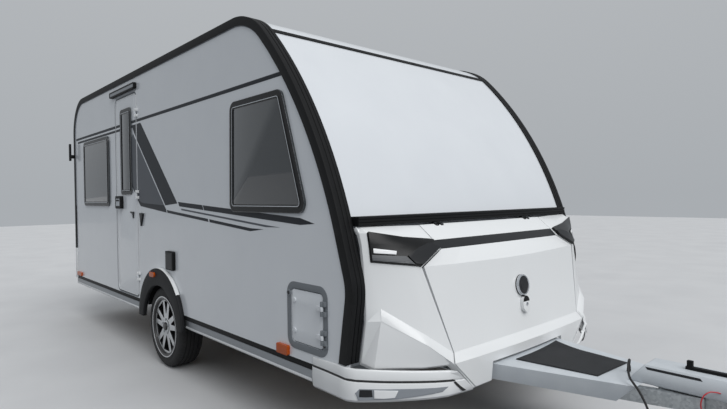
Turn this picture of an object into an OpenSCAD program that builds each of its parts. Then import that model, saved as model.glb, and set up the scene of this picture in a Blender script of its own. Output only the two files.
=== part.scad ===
// Travel caravan on one axle, standing on its wheels and its jockey wheel.
// Millimetres, X forward to the coupling, Y to the left, Z up.
// Pieces are drawn with the axle above X = 0 and the ground at Z = 0, and place() then
// moves them so that the origin lies under the middle of the whole length.

/* [Body shell] */
// Width over the side walls
body_w = 2300; // [2100:10:2400]
// Height of the roof skin
roof_z = 2530; // [2450:10:2700]
// Underside of the side walls
wall_low = 497; // [470:1:520]
// Thickness of walls, roof and doors
wall_t = 31; // [24:1:40]
// Thickness of the floor
floor_t = 42; // [36:1:60]
// Rear face, behind the axle
rear_len = 2620; // [2300:10:3000]
// Radius between rear face and roof
rear_r = 380; // [250:10:500]
// End of the flat roof, ahead of the axle
roof_front = 1258; // [1100:2:1400]
// Radius between roof and front panel
brow_r = 500; // [420:10:560]
// Radius of the curved front panel
front_r = 2850; // [2700:10:3000]

/* [Edge trim] */
// Width of the trim on the side wall
trim_side = 48; // [35:1:55]
// Width of the trim on roof and front
trim_face = 78; // [60:1:90]
// How far the trim stands proud
trim_proud = 8; // [4:1:10]

/* [Doors and flaps] */
// Gap round a door, flap or lid
door_gap = 6; // [5:1:8]
// Width of the entrance door
door_w = 575; // [550:5:620]
// Height of the entrance door
door_h = 1830; // [1750:5:1850]
// Radius of the hinge pins
pin_r = 5; // [4:0.5:6]
// Running clearance on pins and shafts
run_gap = 0.3; // [0.2:0.05:0.5]

/* [Wheels] */
// Outer radius of a tyre
tyre_r = 332; // [320:1:338]
// Width of a tyre
tyre_w = 205; // [185:5:215]
// Radius of the rim's lip
rim_r = 250; // [235:1:255]
// Outer face of a tyre, inside the wall's outer face
tyre_inset = 8; // [5:1:14]

/* [Drawbar] */
// Ball socket ahead of the axle
ball_x = 4020; // [3990:5:4100]
// Height of the ball's centre
ball_z = 455; // [450:1:460]
// Radius of the ball socket
socket_r = 25.05; // [25:0.05:25.3]
// Top of the drawbar cover
cover_z = 462; // [460:1:466]
// Half width of the cover where it leaves the locker
cover_half = 360; // [350:1:370]
// Radius of the jockey wheel
jockey_r = 100; // [95:1:110]
// Radius of the jockey stem
stem_r = 24; // [20:1:25]

/* [Hidden] */
$fn = 48;

half_w = body_w / 2;
tyre_face_y = half_w - tyre_inset;
in_y = half_w - wall_t;
rear_x = -rear_len;
tip_x = ball_x + 60;
bumper_x = rear_x - 30;
mid_x = (tip_x + bumper_x) / 2;
floor_low = wall_low - floor_t;

// Side outline, from the rear foot over the roof to the front foot.
// Each row: straight length, radius, turn to the right.
LEN = 0;
RAD = 1;
TURN = 2;
UPPER = [
    [roof_z - rear_r - wall_low, 0, 0],
    [0, rear_r, 90],
    [roof_front - rear_x - rear_r, 0, 0],
    [0, brow_r, 45],
    [0, front_r, 28],
    [211, 0, 0],
    [0, 300, 26.5]
];
REAR = 0;
REAR_TOP = 1;
ROOF = 2;
BROW = 3;
FRONT = 4;
CHIN = 6;
FOOT = 7;

// State after some rows: x, z and heading.
function step(s, row) = row[RAD] == 0
    ? [s[0] + row[LEN] * cos(s[2]), s[1] + row[LEN] * sin(s[2]), s[2]]
    : let (c = arc_centre(s, row[RAD]), h = s[2] - row[TURN])
        [c[0] - row[RAD] * sin(h), c[1] + row[RAD] * cos(h), h];
function arc_centre(s, r) = [s[0] + r * sin(s[2]), s[1] - r * cos(s[2])];
function state(i, rows) = i == 0 ? [rear_x, wall_low, 90] : step(state(i - 1, rows), rows[i - 1]);
chin_end = state(7, UPPER);
PATH = concat(UPPER, [[(chin_end[1] - wall_low) / -sin(chin_end[2]), 0, 0]]);
STATES = [for (i = [0:len(PATH)]) state(i, PATH)];

// Point of the outline at a joint, moved outward by u.
function joint(i, u) = [STATES[i][0] - u * sin(STATES[i][2]), STATES[i][1] + u * cos(STATES[i][2])];

module place() { translate([-mid_x, 0, 0]) children(); }
module both_sides() {
    children();
    mirror([0, 1, 0]) children();
}
// A slab standing along X, from y0 to y1, of the outline drawn in X and Z.
module slab(y0, y1) { translate([0, y1, 0]) rotate([90, 0, 0]) linear_extrude(y1 - y0) children(); }
module box(x0, x1, y0, y1, z0, z1) { translate([x0, y0, z0]) cube([x1 - x0, y1 - y0, z1 - z0]); }
module rod_x(x0, x1, y, z, r) { translate([x0, y, z]) rotate([0, 90, 0]) cylinder(h = x1 - x0, r = r); }
module rod_y(x, z, y0, y1, r) { translate([x, y1, z]) rotate([90, 0, 0]) cylinder(h = y1 - y0, r = r); }

// Sweeps a section along rows of the path: x of the section is outward, y is across.
module sweep(first, last) {
    for (i = [first:last]) {
        s = STATES[i];
        e = STATES[i + 1];
        c = arc_centre(s, PATH[i][RAD]);
        if (PATH[i][RAD] == 0)
            multmatrix([[-sin(e[2]), 0, -cos(e[2]), e[0]], [0, 1, 0, 0], [cos(e[2]), 0, -sin(e[2]), e[1]]])
                linear_extrude(PATH[i][LEN]) children();
        else
            multmatrix([[-sin(s[2]), cos(s[2]), 0, c[0]], [0, 0, 1, 0], [cos(s[2]), sin(s[2]), 0, c[1]]])
                rotate_extrude(angle = PATH[i][TURN], $fn = 360) translate([PATH[i][RAD], 0]) children();
    }
}

// The side outline as one face, moved outward by u. Arcs run in short chords.
chord_turn = 1;
function arc_points(i, u) = let (c = arc_centre(STATES[i], PATH[i][RAD]), n = ceil(PATH[i][TURN] / chord_turn))
    [for (k = [1:n - 1]) let (h = STATES[i][2] - PATH[i][TURN] * k / n) c + (PATH[i][RAD] + u) * [-sin(h), cos(h)]];
module outline(u) {
    polygon([for (i = [0:len(PATH)]) each
        concat([joint(i, u)], i < len(PATH) && PATH[i][RAD] > 0 ? arc_points(i, u) : [])]);
}

// A convex outline with rounded corners.
function unit(v) = v / norm(v);
module rounded(pts, r) {
    n = len(pts);
    ends = [for (i = [0:n - 1]) let (
        a = unit(pts[(i + n - 1) % n] - pts[i]), b = unit(pts[(i + 1) % n] - pts[i]),
        half = acos(a * b) / 2)
        [pts[i] + a * r / tan(half), pts[i] + b * r / tan(half), pts[i] + unit(a + b) * r / sin(half)]];
    polygon([for (e = ends) each [e[0], e[1]]]);
    for (e = ends) translate(e[2]) circle(r);
}
// The same in short chords, for points in anticlockwise order.
function chorded(pts, r, steps) = let (n = len(pts)) [for (i = [0:n - 1]) let (
    a = unit(pts[(i + n - 1) % n] - pts[i]), b = unit(pts[(i + 1) % n] - pts[i]), half = acos(a * b) / 2,
    c = pts[i] + unit(a + b) * r / sin(half), from = pts[i] + a * r / tan(half) - c, start = atan2(from[1], from[0]))
    each [for (k = [0:steps]) let (h = start + (180 - 2 * half) * k / steps) c + r * [cos(h), sin(h)]]];
function corners(x0, x1, z0, z1) = [[x0, z0], [x1, z0], [x1, z1], [x0, z1]];
module panel(x0, x1, z0, z1, r, grow = 0) {
    rounded(corners(x0 - grow, x1 + grow, z0 - grow, z1 + grow), r + grow);
}

// Windows on the side walls: rear one and kitchen ones are rounded panels, the front one leans.
window_r = 60;
window_lap = 32;
pane_t = 14;
SIDE_WINDOWS_RIGHT = [[-2200, -1300, 1320, 2030]];
SIDE_WINDOWS_LEFT = [[-2200, -1300, 1320, 2030], [-420, 480, 1320, 2030]];
front_window = [[1200, 1300], [2069, 1300], [2069, 1347], [1822, 2005], [1220, 2005]];
function inset_window(d) = [[1200 + d, 1300 + d], [2069 - d - 20, 1300 + d], [1815 - d, 2005 - d], [1220 + d, 2005 - d]];
module front_window_shape(d) { rounded(inset_window(d), window_r - d / 2); }

// Entrance door on the right.
door_x1 = -525;
door_x0 = door_x1 - door_w;
door_z0 = 515;
door_z1 = door_z0 + door_h;
door_r = 60;
frame_t = 10;
module door_shape(grow) { panel(door_x0, door_x1, door_z0, door_z1, door_r, grow); }
door_win = [-955, -655, 1430, 2235];
module door_win_shape(grow) { panel(door_win[0], door_win[1], door_win[2], door_win[3], 45, grow); }

// Service flaps: right one ahead of the front seat, left one for the toilet tank.
flap_frame_w = 42;
flap_proud = 3;
FLAP_RIGHT = [1879, 2160, 593, 881];
FLAP_LEFT = [-1950, -1610, 620, 960];
module flap_shape(f, grow) { panel(f[0], f[1], f[2], f[3], 24, grow); }

// Hinge axes stand off the wall by this much.
hinge_out = 15;
hinge_y = half_w + hinge_out;
barrel_r = pin_r + 4;
lug_h = 26;
function hinge_x(x1) = x1 + door_gap + 4;

// Wheel arch and box.
hub_z = tyre_r;
arch_r = 455;
arch_z = 365;
arch_open_r = 350;
arch_open_z = 325;
arch_low = 372;
arch_out = 35;
box_r = 400;
box_t = 4;
box_y = half_w - 290;

module wall_outline() {
    difference() {
        outline(0);
        translate([0, arch_z]) circle(box_r - 30);
        translate([-(box_r - 30), 0]) square([2 * (box_r - 30), arch_z]);
    }
}

module floor_panel() {
    color("BurlyWood") difference() {
        box(rear_x + wall_t, bulkhead_x, -in_y, in_y, floor_low, wall_low);
        both_sides() box(-box_r, box_r, box_y, in_y + 1, floor_low - 1, wall_low + 1);
    }
}

module wall_right() {
    color("White") slab(-half_w, -in_y) difference() {
        wall_outline();
        for (w = SIDE_WINDOWS_RIGHT) panel(w[0], w[1], w[2], w[3], window_r, -window_lap);
        front_window_shape(window_lap);
        door_shape(door_gap + frame_t);
        flap_shape(FLAP_RIGHT, door_gap);
    }
}

module wall_left() {
    color("White") slab(in_y, half_w) difference() {
        wall_outline();
        for (w = SIDE_WINDOWS_LEFT) panel(w[0], w[1], w[2], w[3], window_r, -window_lap);
        front_window_shape(window_lap);
        flap_shape(FLAP_LEFT, door_gap);
    }
}

// Rooflights: middle x, half length, half width.
ROOFLIGHTS = [[-1850, 200, 200], [100, 350, 250], [1000, 200, 200]];
module roof_panel() {
    color("White") difference() {
        sweep(REAR_TOP, BROW) translate([-wall_t, -in_y]) square([wall_t, 2 * in_y]);
        for (l = ROOFLIGHTS) box(l[0] - l[1], l[0] + l[1], -l[2], l[2], roof_z - wall_t - 5, roof_z + 5);
    }
}

module front_panel() {
    color("White") sweep(FRONT, FRONT) translate([-wall_t, -in_y]) square([wall_t, 2 * in_y]);
}

rear_window = [-650, 650, 1350, 1950];
module rear_panel() {
    color("White") difference() {
        sweep(REAR, REAR) translate([-wall_t, -in_y]) square([wall_t, 2 * in_y]);
        rear_face(rear_x - 5, rear_x + wall_t + 5) panel(rear_window[0], rear_window[1], rear_window[2], rear_window[3], window_r, -window_lap);
    }
}
// Something drawn in Y and Z and pushed along X from x0 to x1.
module rear_face(x0, x1) {
    multmatrix([[0, 0, 1, x0], [1, 0, 0, 0], [0, 1, 0, 0]]) linear_extrude(x1 - x0) children();
}

// Gas locker at the nose.
bulkhead_x = 2246;
bulkhead_top = 1285;
module bulkhead() {
    color("Gainsboro") box(bulkhead_x - wall_t, bulkhead_x, -in_y, in_y, wall_low, bulkhead_top);
}
tray_z = 478;
module locker_tray() {
    color("LightGray") {
        box(bulkhead_x, 2590, -640, 640, tray_z - 8, tray_z);
        both_sides() box(bulkhead_x, 2590, 440, 520, floor_low, tray_z - 8);
    }
}

trim_in = half_w - trim_face - run_gap;
// Edge trim: an angle with two ribs, swept round the whole outline.
trim_rear_low = 820;
trim_front_low = 555;
module trim_section() {
    y0 = -half_w - trim_proud;
    difference() {
        union() {
            translate([0, y0]) square([trim_proud, trim_face + trim_proud]);
            translate([-trim_side, y0]) square([trim_side, trim_proud]);
        }
        for (k = [1, 2]) translate([trim_proud - 3, y0 + trim_proud + trim_face * k / 3 - 3]) square([4, 6]);
    }
}
module edge_trims() {
    color([0.1, 0.1, 0.11]) both_sides() difference() {
        sweep(REAR, FOOT) trim_section();
        box(rear_x - 60, rear_x + 300, -half_w - 60, -half_w + 200, 0, trim_rear_low);
        box(1800, 2600, -half_w - 60, -half_w + 200, 0, trim_front_low);
    }
}

// Black strips across the front: at the brow joint, and the gutter over the gas locker.
gutter_half = half_w - 80;
gutter_z0 = 1240;
gutter_z1 = 1287;
gutter_x = 2358;
module front_strips() {
    brow = STATES[FRONT];
    color([0.1, 0.1, 0.11]) {
        multmatrix([[-sin(brow[2]), 0, -cos(brow[2]), brow[0]], [0, 1, 0, 0], [cos(brow[2]), 0, -sin(brow[2]), brow[1]]])
            translate([0, -(half_w - trim_face), 0]) cube([6, 2 * (half_w - trim_face), 34]);
        difference() {
            box(2250, gutter_x, -gutter_half, gutter_half, gutter_z0, gutter_z1);
            slab(-half_w, half_w) outline(run_gap);
            for (z = [gutter_z0 + 14, gutter_z0 + 30]) box(gutter_x - 5, gutter_x + 5, -half_w, half_w, z, z + 5);
        }
        // Lugs that carry the locker lid's pin
        for (y = LID_LUGS) difference() {
            box(gutter_x - 26, lid_axis[0] + 6, y - 10, y + 10, lid_axis[1] - 7, gutter_z0);
            rod_y(lid_axis[0], lid_axis[1], y - 11, y + 11, pin_r + run_gap);
        }
    }
}

// Sills: aluminium rail below, black insert above it, broken at the wheel arches.
sill_low = 400;
insert_low = 463;
sill_front = 2080;
arch_foot = sqrt(pow(arch_r, 2) - pow(arch_z - insert_low, 2)) + 3;
module sill_rails() {
    color("Silver") both_sides() for (s = [[rear_x + 20, -arch_foot], [arch_foot, sill_front]]) {
        box(s[0], s[1], in_y, half_w, sill_low, insert_low);
        box(s[0], s[1], in_y - 60, in_y, floor_low - 5, floor_low);
    }
}
module sill_inserts() {
    color([0.12, 0.12, 0.13]) both_sides() for (s = [[rear_x + 20, -arch_foot], [arch_foot, sill_front]])
        box(s[0], s[1], in_y, half_w - 3, insert_low, wall_low);
}

module wheel_arches() {
    color("DimGray") both_sides() slab(half_w, half_w + arch_out) difference() {
        translate([0, arch_z]) circle(arch_r, $fn = 96);
        translate([0, arch_open_z]) circle(arch_open_r, $fn = 96);
        translate([-arch_r - 5, 0 - 200]) square([2 * arch_r + 10, arch_low + 200]);
    }
}
module wheel_boxes() {
    color([0.15, 0.15, 0.15]) both_sides() {
        slab(box_y, in_y) difference() {
            box_outline(box_r);
            box_outline(box_r - box_t);
        }
        slab(box_y, box_y + box_t) box_outline(box_r);
    }
}
module box_outline(r) {
    intersection() {
        union() {
            translate([0, arch_z]) circle(r, $fn = 96);
            translate([-r, 0]) square([2 * r, arch_z]);
        }
        translate([-r, floor_low]) square([2 * r, roof_z]);
    }
}

// Windows: a black frame set in each cut, and a pane on its outside.
frame_w = 16;
module in_wall(side) { slab(side < 0 ? -half_w : in_y, side < 0 ? -in_y : half_w) children(); }
module on_wall(side, t) {
    slab(side < 0 ? -half_w - t : half_w, side < 0 ? -half_w : half_w + t) children();
}
module window_frames() {
    color([0.1, 0.1, 0.11]) {
        for (side = [-1, 1]) {
            for (w = side < 0 ? SIDE_WINDOWS_RIGHT : SIDE_WINDOWS_LEFT) in_wall(side) difference() {
                panel(w[0], w[1], w[2], w[3], window_r, -window_lap);
                panel(w[0], w[1], w[2], w[3], window_r, -window_lap - frame_w);
            }
            in_wall(side) difference() {
                front_window_shape(window_lap);
                front_window_shape(window_lap + frame_w);
            }
        }
        rear_face(rear_x, rear_x + wall_t) difference() {
            panel(rear_window[0], rear_window[1], rear_window[2], rear_window[3], window_r, -window_lap);
            panel(rear_window[0], rear_window[1], rear_window[2], rear_window[3], window_r, -window_lap - frame_w);
        }
    }
}
module window_panes() {
    color([0.2, 0.22, 0.25]) {
        for (side = [-1, 1]) {
            for (w = side < 0 ? SIDE_WINDOWS_RIGHT : SIDE_WINDOWS_LEFT) on_wall(side, pane_t)
                panel(w[0], w[1], w[2], w[3], window_r);
            on_wall(side, pane_t) rounded(inset_window(0), window_r);
        }
        rear_face(rear_x - pane_t, rear_x) panel(rear_window[0], rear_window[1], rear_window[2], rear_window[3], window_r);
    }
}

// Frames of the door and the flaps, with the fixed halves of their hinges.
module door_frames() {
    color("Gray") {
        slab(-half_w, -in_y) difference() {
            door_shape(door_gap + frame_t);
            door_shape(door_gap);
        }
        flap_frame(FLAP_RIGHT);
        mirror([0, 1, 0]) flap_frame(FLAP_LEFT);
        for (z = DOOR_HINGES) fixed_hinge(door_x1, z, 0);
        for (z = FLAP_HINGES_RIGHT) fixed_hinge(FLAP_RIGHT[1], z, flap_proud);
        mirror([0, 1, 0]) for (z = FLAP_HINGES_LEFT) fixed_hinge(FLAP_LEFT[1], z, flap_proud);
    }
}

// Hinges with upright pins: fixed lugs with a pin, and a barrel on the moving leaf between them.
DOOR_HINGES = [700, 1430, 2160];
FLAP_HINGES_RIGHT = [660, 810];
FLAP_HINGES_LEFT = [700, 880];
module fixed_hinge(x1, z, seat) {
    x = hinge_x(x1);
    for (dz = [-lug_h, lug_h]) translate([0, 0, z + dz - lug_h / 2 + 1]) {
        translate([x, -hinge_y, 0]) cylinder(h = lug_h - 2, r = barrel_r);
        box(x, x + 26, -hinge_y - 3, -half_w - seat, 0, lug_h - 2);
    }
    translate([x, -hinge_y, z - lug_h * 1.5]) cylinder(h = lug_h * 3, r = pin_r);
}
module leaf_hinge(x1, z) {
    x = hinge_x(x1);
    translate([0, 0, z - lug_h / 2 + 1]) difference() {
        union() {
            translate([x, -hinge_y, 0]) cylinder(h = lug_h - 2, r = barrel_r);
            box(x - 46, x, -hinge_y - 3, -half_w, 0, lug_h - 2);
        }
        translate([x, -hinge_y, -1]) cylinder(h = lug_h, r = pin_r + run_gap);
        box(x - door_gap - 4, x + 40, -half_w - flap_proud - 5, 0, -1, lug_h);
    }
}
module awning_lamp() {
    color("DarkGray") on_wall(-1, 26) panel(-1190, -510, 2380, 2430, 8);
}
module socket_box() {
    color([0.1, 0.1, 0.11]) on_wall(-1, 22) panel(135, 285, 823, 972, 12);
}
module side_markers() {
    color("Orange") both_sides() {
        slab(half_w, half_w + 20) panel(1742, 1853, 500, 555, 8);
        slab(half_w, half_w + 18) panel(-2540, -2370, 504, 546, 8);
        slab(half_w + arch_out, half_w + arch_out + 14) panel(-150, -50, 740, 780, 18);
    }
}

module flap_frame(f) {
    slab(-half_w - flap_proud, -half_w) difference() {
        flap_shape(f, flap_frame_w);
        flap_shape(f, door_gap);
    }
}
module flap_leaf(f, hinges) {
    slab(-half_w, -in_y) flap_shape(f, 0);
    for (z = hinges) leaf_hinge(f[1], z);
    // Two lock bosses on the free edge
    for (z = [f[2] + 60, f[3] - 60]) translate([f[0] + 26, -half_w, z]) rotate([90, 0, 0]) cylinder(h = 6, r = 15);
}
module flap_right() { color("White") flap_leaf(FLAP_RIGHT, FLAP_HINGES_RIGHT); }
module flap_left() { color("White") mirror([0, 1, 0]) flap_leaf(FLAP_LEFT, FLAP_HINGES_LEFT); }

module door_leaf() {
    color("White") {
        slab(-half_w, -in_y) difference() {
            door_shape(0);
            door_win_shape(-24);
        }
        for (z = DOOR_HINGES) leaf_hinge(door_x1, z);
    }
}
module door_window() {
    color([0.25, 0.28, 0.3]) slab(-half_w - 8, -half_w) door_win_shape(0);
}
module door_handle() {
    color([0.1, 0.1, 0.11]) slab(-half_w - 30, -half_w) panel(-1060, -910, 1300, 1420, 20);
}

// Gas locker nose. Rows run from the gutter down to the foot, columns across from the middle out.
// Each point is x, y, z. The lid bows forward in the middle, the corners sweep back to the trim.
lid_axis = [2364, 1231];
LID_LUGS = [-470, 470];
skin = [-18, 0, -14];
// Per row: x and z in the middle, then the seam's x, y, z, and its gap across, wider where the seam slants.
MID_X = 0;
MID_Z = 1;
SEAM_X = 2;
SEAM_Y = 3;
SEAM_Z = 4;
SEAM_GAP = 5;
NOSE_ROWS = [
    [2376, 1228, 2374, 636, 1228, door_gap],
    [2482, 1150, 2473, 631, 1149, door_gap],
    [2532, 1105, 2519, 628, 1104, door_gap * 2.7],
    [2600, 1020, 2544, 800, 1027, door_gap * 2.7],
    [2655, 585, 2638, 675, 582, door_gap],
    [2690, 535, 2667, 704, 537, door_gap * 1.6],
    [2676, 380, 2670, 535, 380, door_gap * 1.6]
];
BROW_ROW = 3;
FIELD_ROW = 4;
FOOT_ROW = 6;
// Foot and top of the front corner bumpers, and the seam's distance from the middle above them.
bumper_z0 = 378;
bumper_z1 = 555;
bumper_end_z = 505;
function seam_y(z) = let (a = NOSE_ROWS[FOOT_ROW], b = NOSE_ROWS[FOOT_ROW - 1])
    a[SEAM_Y] + (b[SEAM_Y] - a[SEAM_Y]) * (z - a[SEAM_Z]) / (b[SEAM_Z] - a[SEAM_Z]);
// Corner columns, each a list of points by row, from the cheek out to the trim.
corner_low = bumper_z1 - 20;
// The first two count their y inward from the wall's outer face.
function from_wall(col) = [for (p = col) [p[0], half_w - p[1], p[2]]];
CHEEK = from_wall([[2352, 300, 1232], [2440, 300, 1172], [2480, 310, 1128], [2506, 250, 1040], [2585, 320, 690],
    [2612, 304, 645], [2590, 300, corner_low]]);
OUTER = from_wall([[2345, 98, 1236], [2394, 99, 1208], [2405, 99, 1150], [2416, 100, 1060], [2450, 138, 830],
    [2462, 128, 771], [2430, 108, corner_low]]);
EDGE = [for (p = [[2338, 1238], [2362, 1205], [2380, 1150], [2392, 1060], [2408, 830], [2408, 771], [2370, 557]])
    [p[0], trim_in, p[1]]];
function mix(a, b, t) = a + (b - a) * t;
// The lid's edge at the bottom steps up over the drawbar cover.
notch_half = cover_half + 22;
notch_z = cover_z + 20;
LID_STATIONS = [-1, -0.74, -0.72, -0.2, 0.2, 0.72, 0.74, 1];
function lid_point(r, t) =
    [mix(r[MID_X], r[SEAM_X], t * t), t * (r[SEAM_Y] - r[SEAM_GAP] / 2), mix(r[MID_Z], r[SEAM_Z], t * t)];
function lid_foot(t) = let (a = lid_point(NOSE_ROWS[FOOT_ROW - 1], t), b = lid_point(NOSE_ROWS[FOOT_ROW], t))
    abs(t) > 0.73 ? b : [mix(b[0], a[0], (notch_z - b[2]) / (a[2] - b[2])), sign(t) * min(abs(b[1]), notch_half), notch_z];
function lid_col(t) = [for (j = [0:FOOT_ROW]) j < FOOT_ROW ? lid_point(NOSE_ROWS[j], t) : lid_foot(t)];
// The lid's flat middle: x of its main face at a height, and its lean.
lid_mid = lid_col(0.2);
function face_x(z) = let (a = lid_mid[BROW_ROW], b = lid_mid[FIELD_ROW]) mix(a[0], b[0], (a[2] - z) / (a[2] - b[2]));
face_lean = atan2(lid_mid[FIELD_ROW][0] - lid_mid[BROW_ROW][0], lid_mid[BROW_ROW][2] - lid_mid[FIELD_ROW][2]);
// The corner's edge beside the lid, and two more columns that turn its foot up beside the bumper.
seam_col = [for (r = NOSE_ROWS) [r[SEAM_X], r[SEAM_Y] + r[SEAM_GAP] / 2, r[SEAM_Z]]];
function between(t, foot) = [for (j = [0:FOOT_ROW]) j < FOOT_ROW ? mix(seam_col[j], CHEEK[j], t) : foot];
CORNER_COLS = [seam_col, between(0.16, [2669, seam_y(380) + 20, 380]),
    between(0.35, [2650, seam_y(corner_low) + 20, corner_low]), CHEEK, OUTER, EDGE];

// A skin of even wall over a grid of points, columns by rows.
module skin_grid(cols, inward = skin) {
    n = len(cols);
    m = len(cols[0]);
    pts = concat([for (c = cols) each c], [for (c = cols) each [for (p = c) p + inward]]);
    function id(i, j, side) = side * n * m + i * m + j;
    faces = concat(
        [for (i = [0:n - 2], j = [0:m - 2]) each [
            [id(i, j, 0), id(i, j + 1, 0), id(i + 1, j + 1, 0)], [id(i, j, 0), id(i + 1, j + 1, 0), id(i + 1, j, 0)],
            [id(i, j, 1), id(i + 1, j + 1, 1), id(i, j + 1, 1)], [id(i, j, 1), id(i + 1, j, 1), id(i + 1, j + 1, 1)]]],
        [for (j = [0:m - 2]) each [
            [id(0, j, 0), id(0, j, 1), id(0, j + 1, 1)], [id(0, j, 0), id(0, j + 1, 1), id(0, j + 1, 0)],
            [id(n - 1, j, 0), id(n - 1, j + 1, 1), id(n - 1, j, 1)], [id(n - 1, j, 0), id(n - 1, j + 1, 0), id(n - 1, j + 1, 1)]]],
        [for (i = [0:n - 2]) each [
            [id(i, 0, 0), id(i + 1, 0, 1), id(i, 0, 1)], [id(i, 0, 0), id(i + 1, 0, 0), id(i + 1, 0, 1)],
            [id(i, m - 1, 0), id(i, m - 1, 1), id(i + 1, m - 1, 1)], [id(i, m - 1, 0), id(i + 1, m - 1, 1), id(i + 1, m - 1, 0)]]]
    );
    polyhedron(pts, faces);
}

module locker_shell() {
    color("White") both_sides() skin_grid(CORNER_COLS);
}
module locker_lid() {
    color("White") {
        difference() {
            skin_grid([for (t = LID_STATIONS) lid_col(t)]);
            for (y = LID_LUGS) rod_y(lid_axis[0], lid_axis[1], y - 40, y + 40, 18);
        }
        for (y = LID_LUGS) for (d = [-22, 22]) difference() {
            union() {
                rod_y(lid_axis[0], lid_axis[1], y + d - 9, y + d + 9, barrel_r - 1);
                box(lid_axis[0], lid_axis[0] + 24, y + d - 9, y + d + 9, lid_axis[1] - 26, lid_axis[1] - 8);
                box(lid_axis[0] - 4, lid_axis[0] + 8, y + d - 9, y + d + 9, lid_axis[1] - 26, lid_axis[1]);
            }
        }
        for (y = LID_LUGS) rod_y(lid_axis[0], lid_axis[1], y - 30, y + 30, pin_r);
    }
}
module locker_lock() {
    color([0.1, 0.1, 0.11]) {
        on_lid(lock_z) cylinder(h = 14, r = 62);
        on_lid(lock_z - 112) linear_extrude(24) rounded(corners(-48, 48, -34, 34), 33);
    }
}
lock_z = 847;
// Something on the lid's face, its z outward and its x downward.
module on_lid(z) { translate([face_x(z) + run_gap / 3, 0, z]) rotate([0, 90 - face_lean, 0]) children(); }
module front_lamps() {
    // A lens over the upper rows of each corner
    lens = [for (c = concat([[for (p = seam_col) p + [0, 12, 0]]], [for (k = [1:4]) CORNER_COLS[k]]))
        [for (j = [1:3]) c[j] + [12.5, 0, 9]]];
    color([0.1, 0.1, 0.11]) both_sides() skin_grid(lens, [-12, 0, -8.5]);
}

// Bumpers: plan outline of the front corner ones, bent round the corner.
// Line of the bumper's outer face in plan, from the side round the corner to the middle: x, and y inward from the wall.
BUMPER_LINE = [[2085, -10.5], [2200, -10.5], [2300, -12.5], [2352, -12], [2396, 14], [2440, 60], [2490, 116], [2542, 184],
    [2592, 256], [2636, 330], [2666, 400]];
bumper_skin = [-13, -7, 0];
bumper_end_gap = 44;
joint_h = 11;
joint_in = 3;
// Rows of a bumper at a share t of its length: outward shift and height, from the top edge to the tucked-in foot.
bumper_dip = 16;
function bumper_top(t) = mix(bumper_z1, bumper_end_z, pow(t, 1.5)) - bumper_dip * max(0, 1 - 5 * t);
function joint_z(t) = mix(492, 452, pow(t, 1.5));
function bumper_rows(t) = [[-3, bumper_top(t)], [0, bumper_top(t) - 8], [2, joint_z(t) + joint_h], [-joint_in, joint_z(t) + joint_h - 2],
    [-joint_in, joint_z(t) + 2], [4, joint_z(t)], [6, mix(joint_z(t), bumper_z0, 0.5)], [2, bumper_z0 + 14], [-10, bumper_z0]];
function plan_dir(i) = unit(BUMPER_LINE[min(i + 1, len(BUMPER_LINE) - 1)] - BUMPER_LINE[max(i - 1, 0)]);
function bumper_col(i) = let (q = BUMPER_LINE[i], d = plan_dir(i), t = i / len(BUMPER_LINE))
    [for (w = bumper_rows(t)) [q[0] + w[0] * d[1], half_w - q[1] + w[0] * d[0], w[1]]];
// The inner end runs beside the lid's seam
bumper_end = [for (w = bumper_rows(1)) [2694 + w[0], seam_y(w[1]) + bumper_end_gap, w[1]]];
module front_bumpers() {
    color("White") both_sides()
        skin_grid(concat([for (i = [0:len(BUMPER_LINE) - 1]) bumper_col(i)], [bumper_end]), bumper_skin);
}
// Rear bumper: a cap across the rear with rounded corners, holding the lamps.
cap_t = 22;
cap_side = 10;
cap_low = 470;
module rear_bumper() {
    color("White") difference() {
        translate([0, 0, cap_low]) linear_extrude(trim_rear_low - cap_low)
            polygon(chorded(corners(rear_x - cap_t, rear_x + 60, -half_w - cap_side, half_w + cap_side), cap_t, 5));
        box(rear_x, rear_x + 100, -half_w, half_w, cap_low - 1, trim_rear_low + 1);
        // Groove for the number plate
        box(rear_x - cap_t - 1, rear_x - cap_t + 4, -270, 270, 560, 690);
    }
}
module rear_lamps() {
    color("Red") both_sides() rear_face(bumper_x, rear_x - cap_t) {
        panel(half_w - 390, half_w - 140, 600, 740, 24);
        translate([half_w - 85, 670]) circle(42);
    }
}
marker_z = 1950;
module end_markers() {
    color([0.15, 0.15, 0.15]) both_sides() {
        box(rear_x - 12, rear_x + 22, half_w + trim_proud, half_w + 58, marker_z - 70, marker_z - 30);
        slab(half_w + 40, half_w + 58) panel(rear_x - 20, rear_x + 20, marker_z - 100, marker_z + 100, 12);
    }
}
// A frame on the roof and a lower, wider-edged dome on it.
light_frame = 30;
light_frame_h = 16;
dome_h = 26;
module rooflights() {
    color([0.75, 0.78, 0.8]) for (l = ROOFLIGHTS) translate([l[0], 0, roof_z]) {
        linear_extrude(light_frame_h) polygon(chorded(corners(-l[1] - light_frame, l[1] + light_frame, -l[2] - light_frame, l[2] + light_frame), 40, 5));
        translate([0, 0, light_frame_h]) linear_extrude(dome_h * 0.6)
            polygon(chorded(corners(-l[1] - 12, l[1] + 12, -l[2] - 12, l[2] + 12), 50, 5));
        translate([0, 0, light_frame_h + dome_h * 0.6]) linear_extrude(dome_h * 0.4)
            polygon(chorded(corners(-l[1] + 30, l[1] - 30, -l[2] + 30, l[2] - 30), 60, 5));
    }
}

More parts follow.
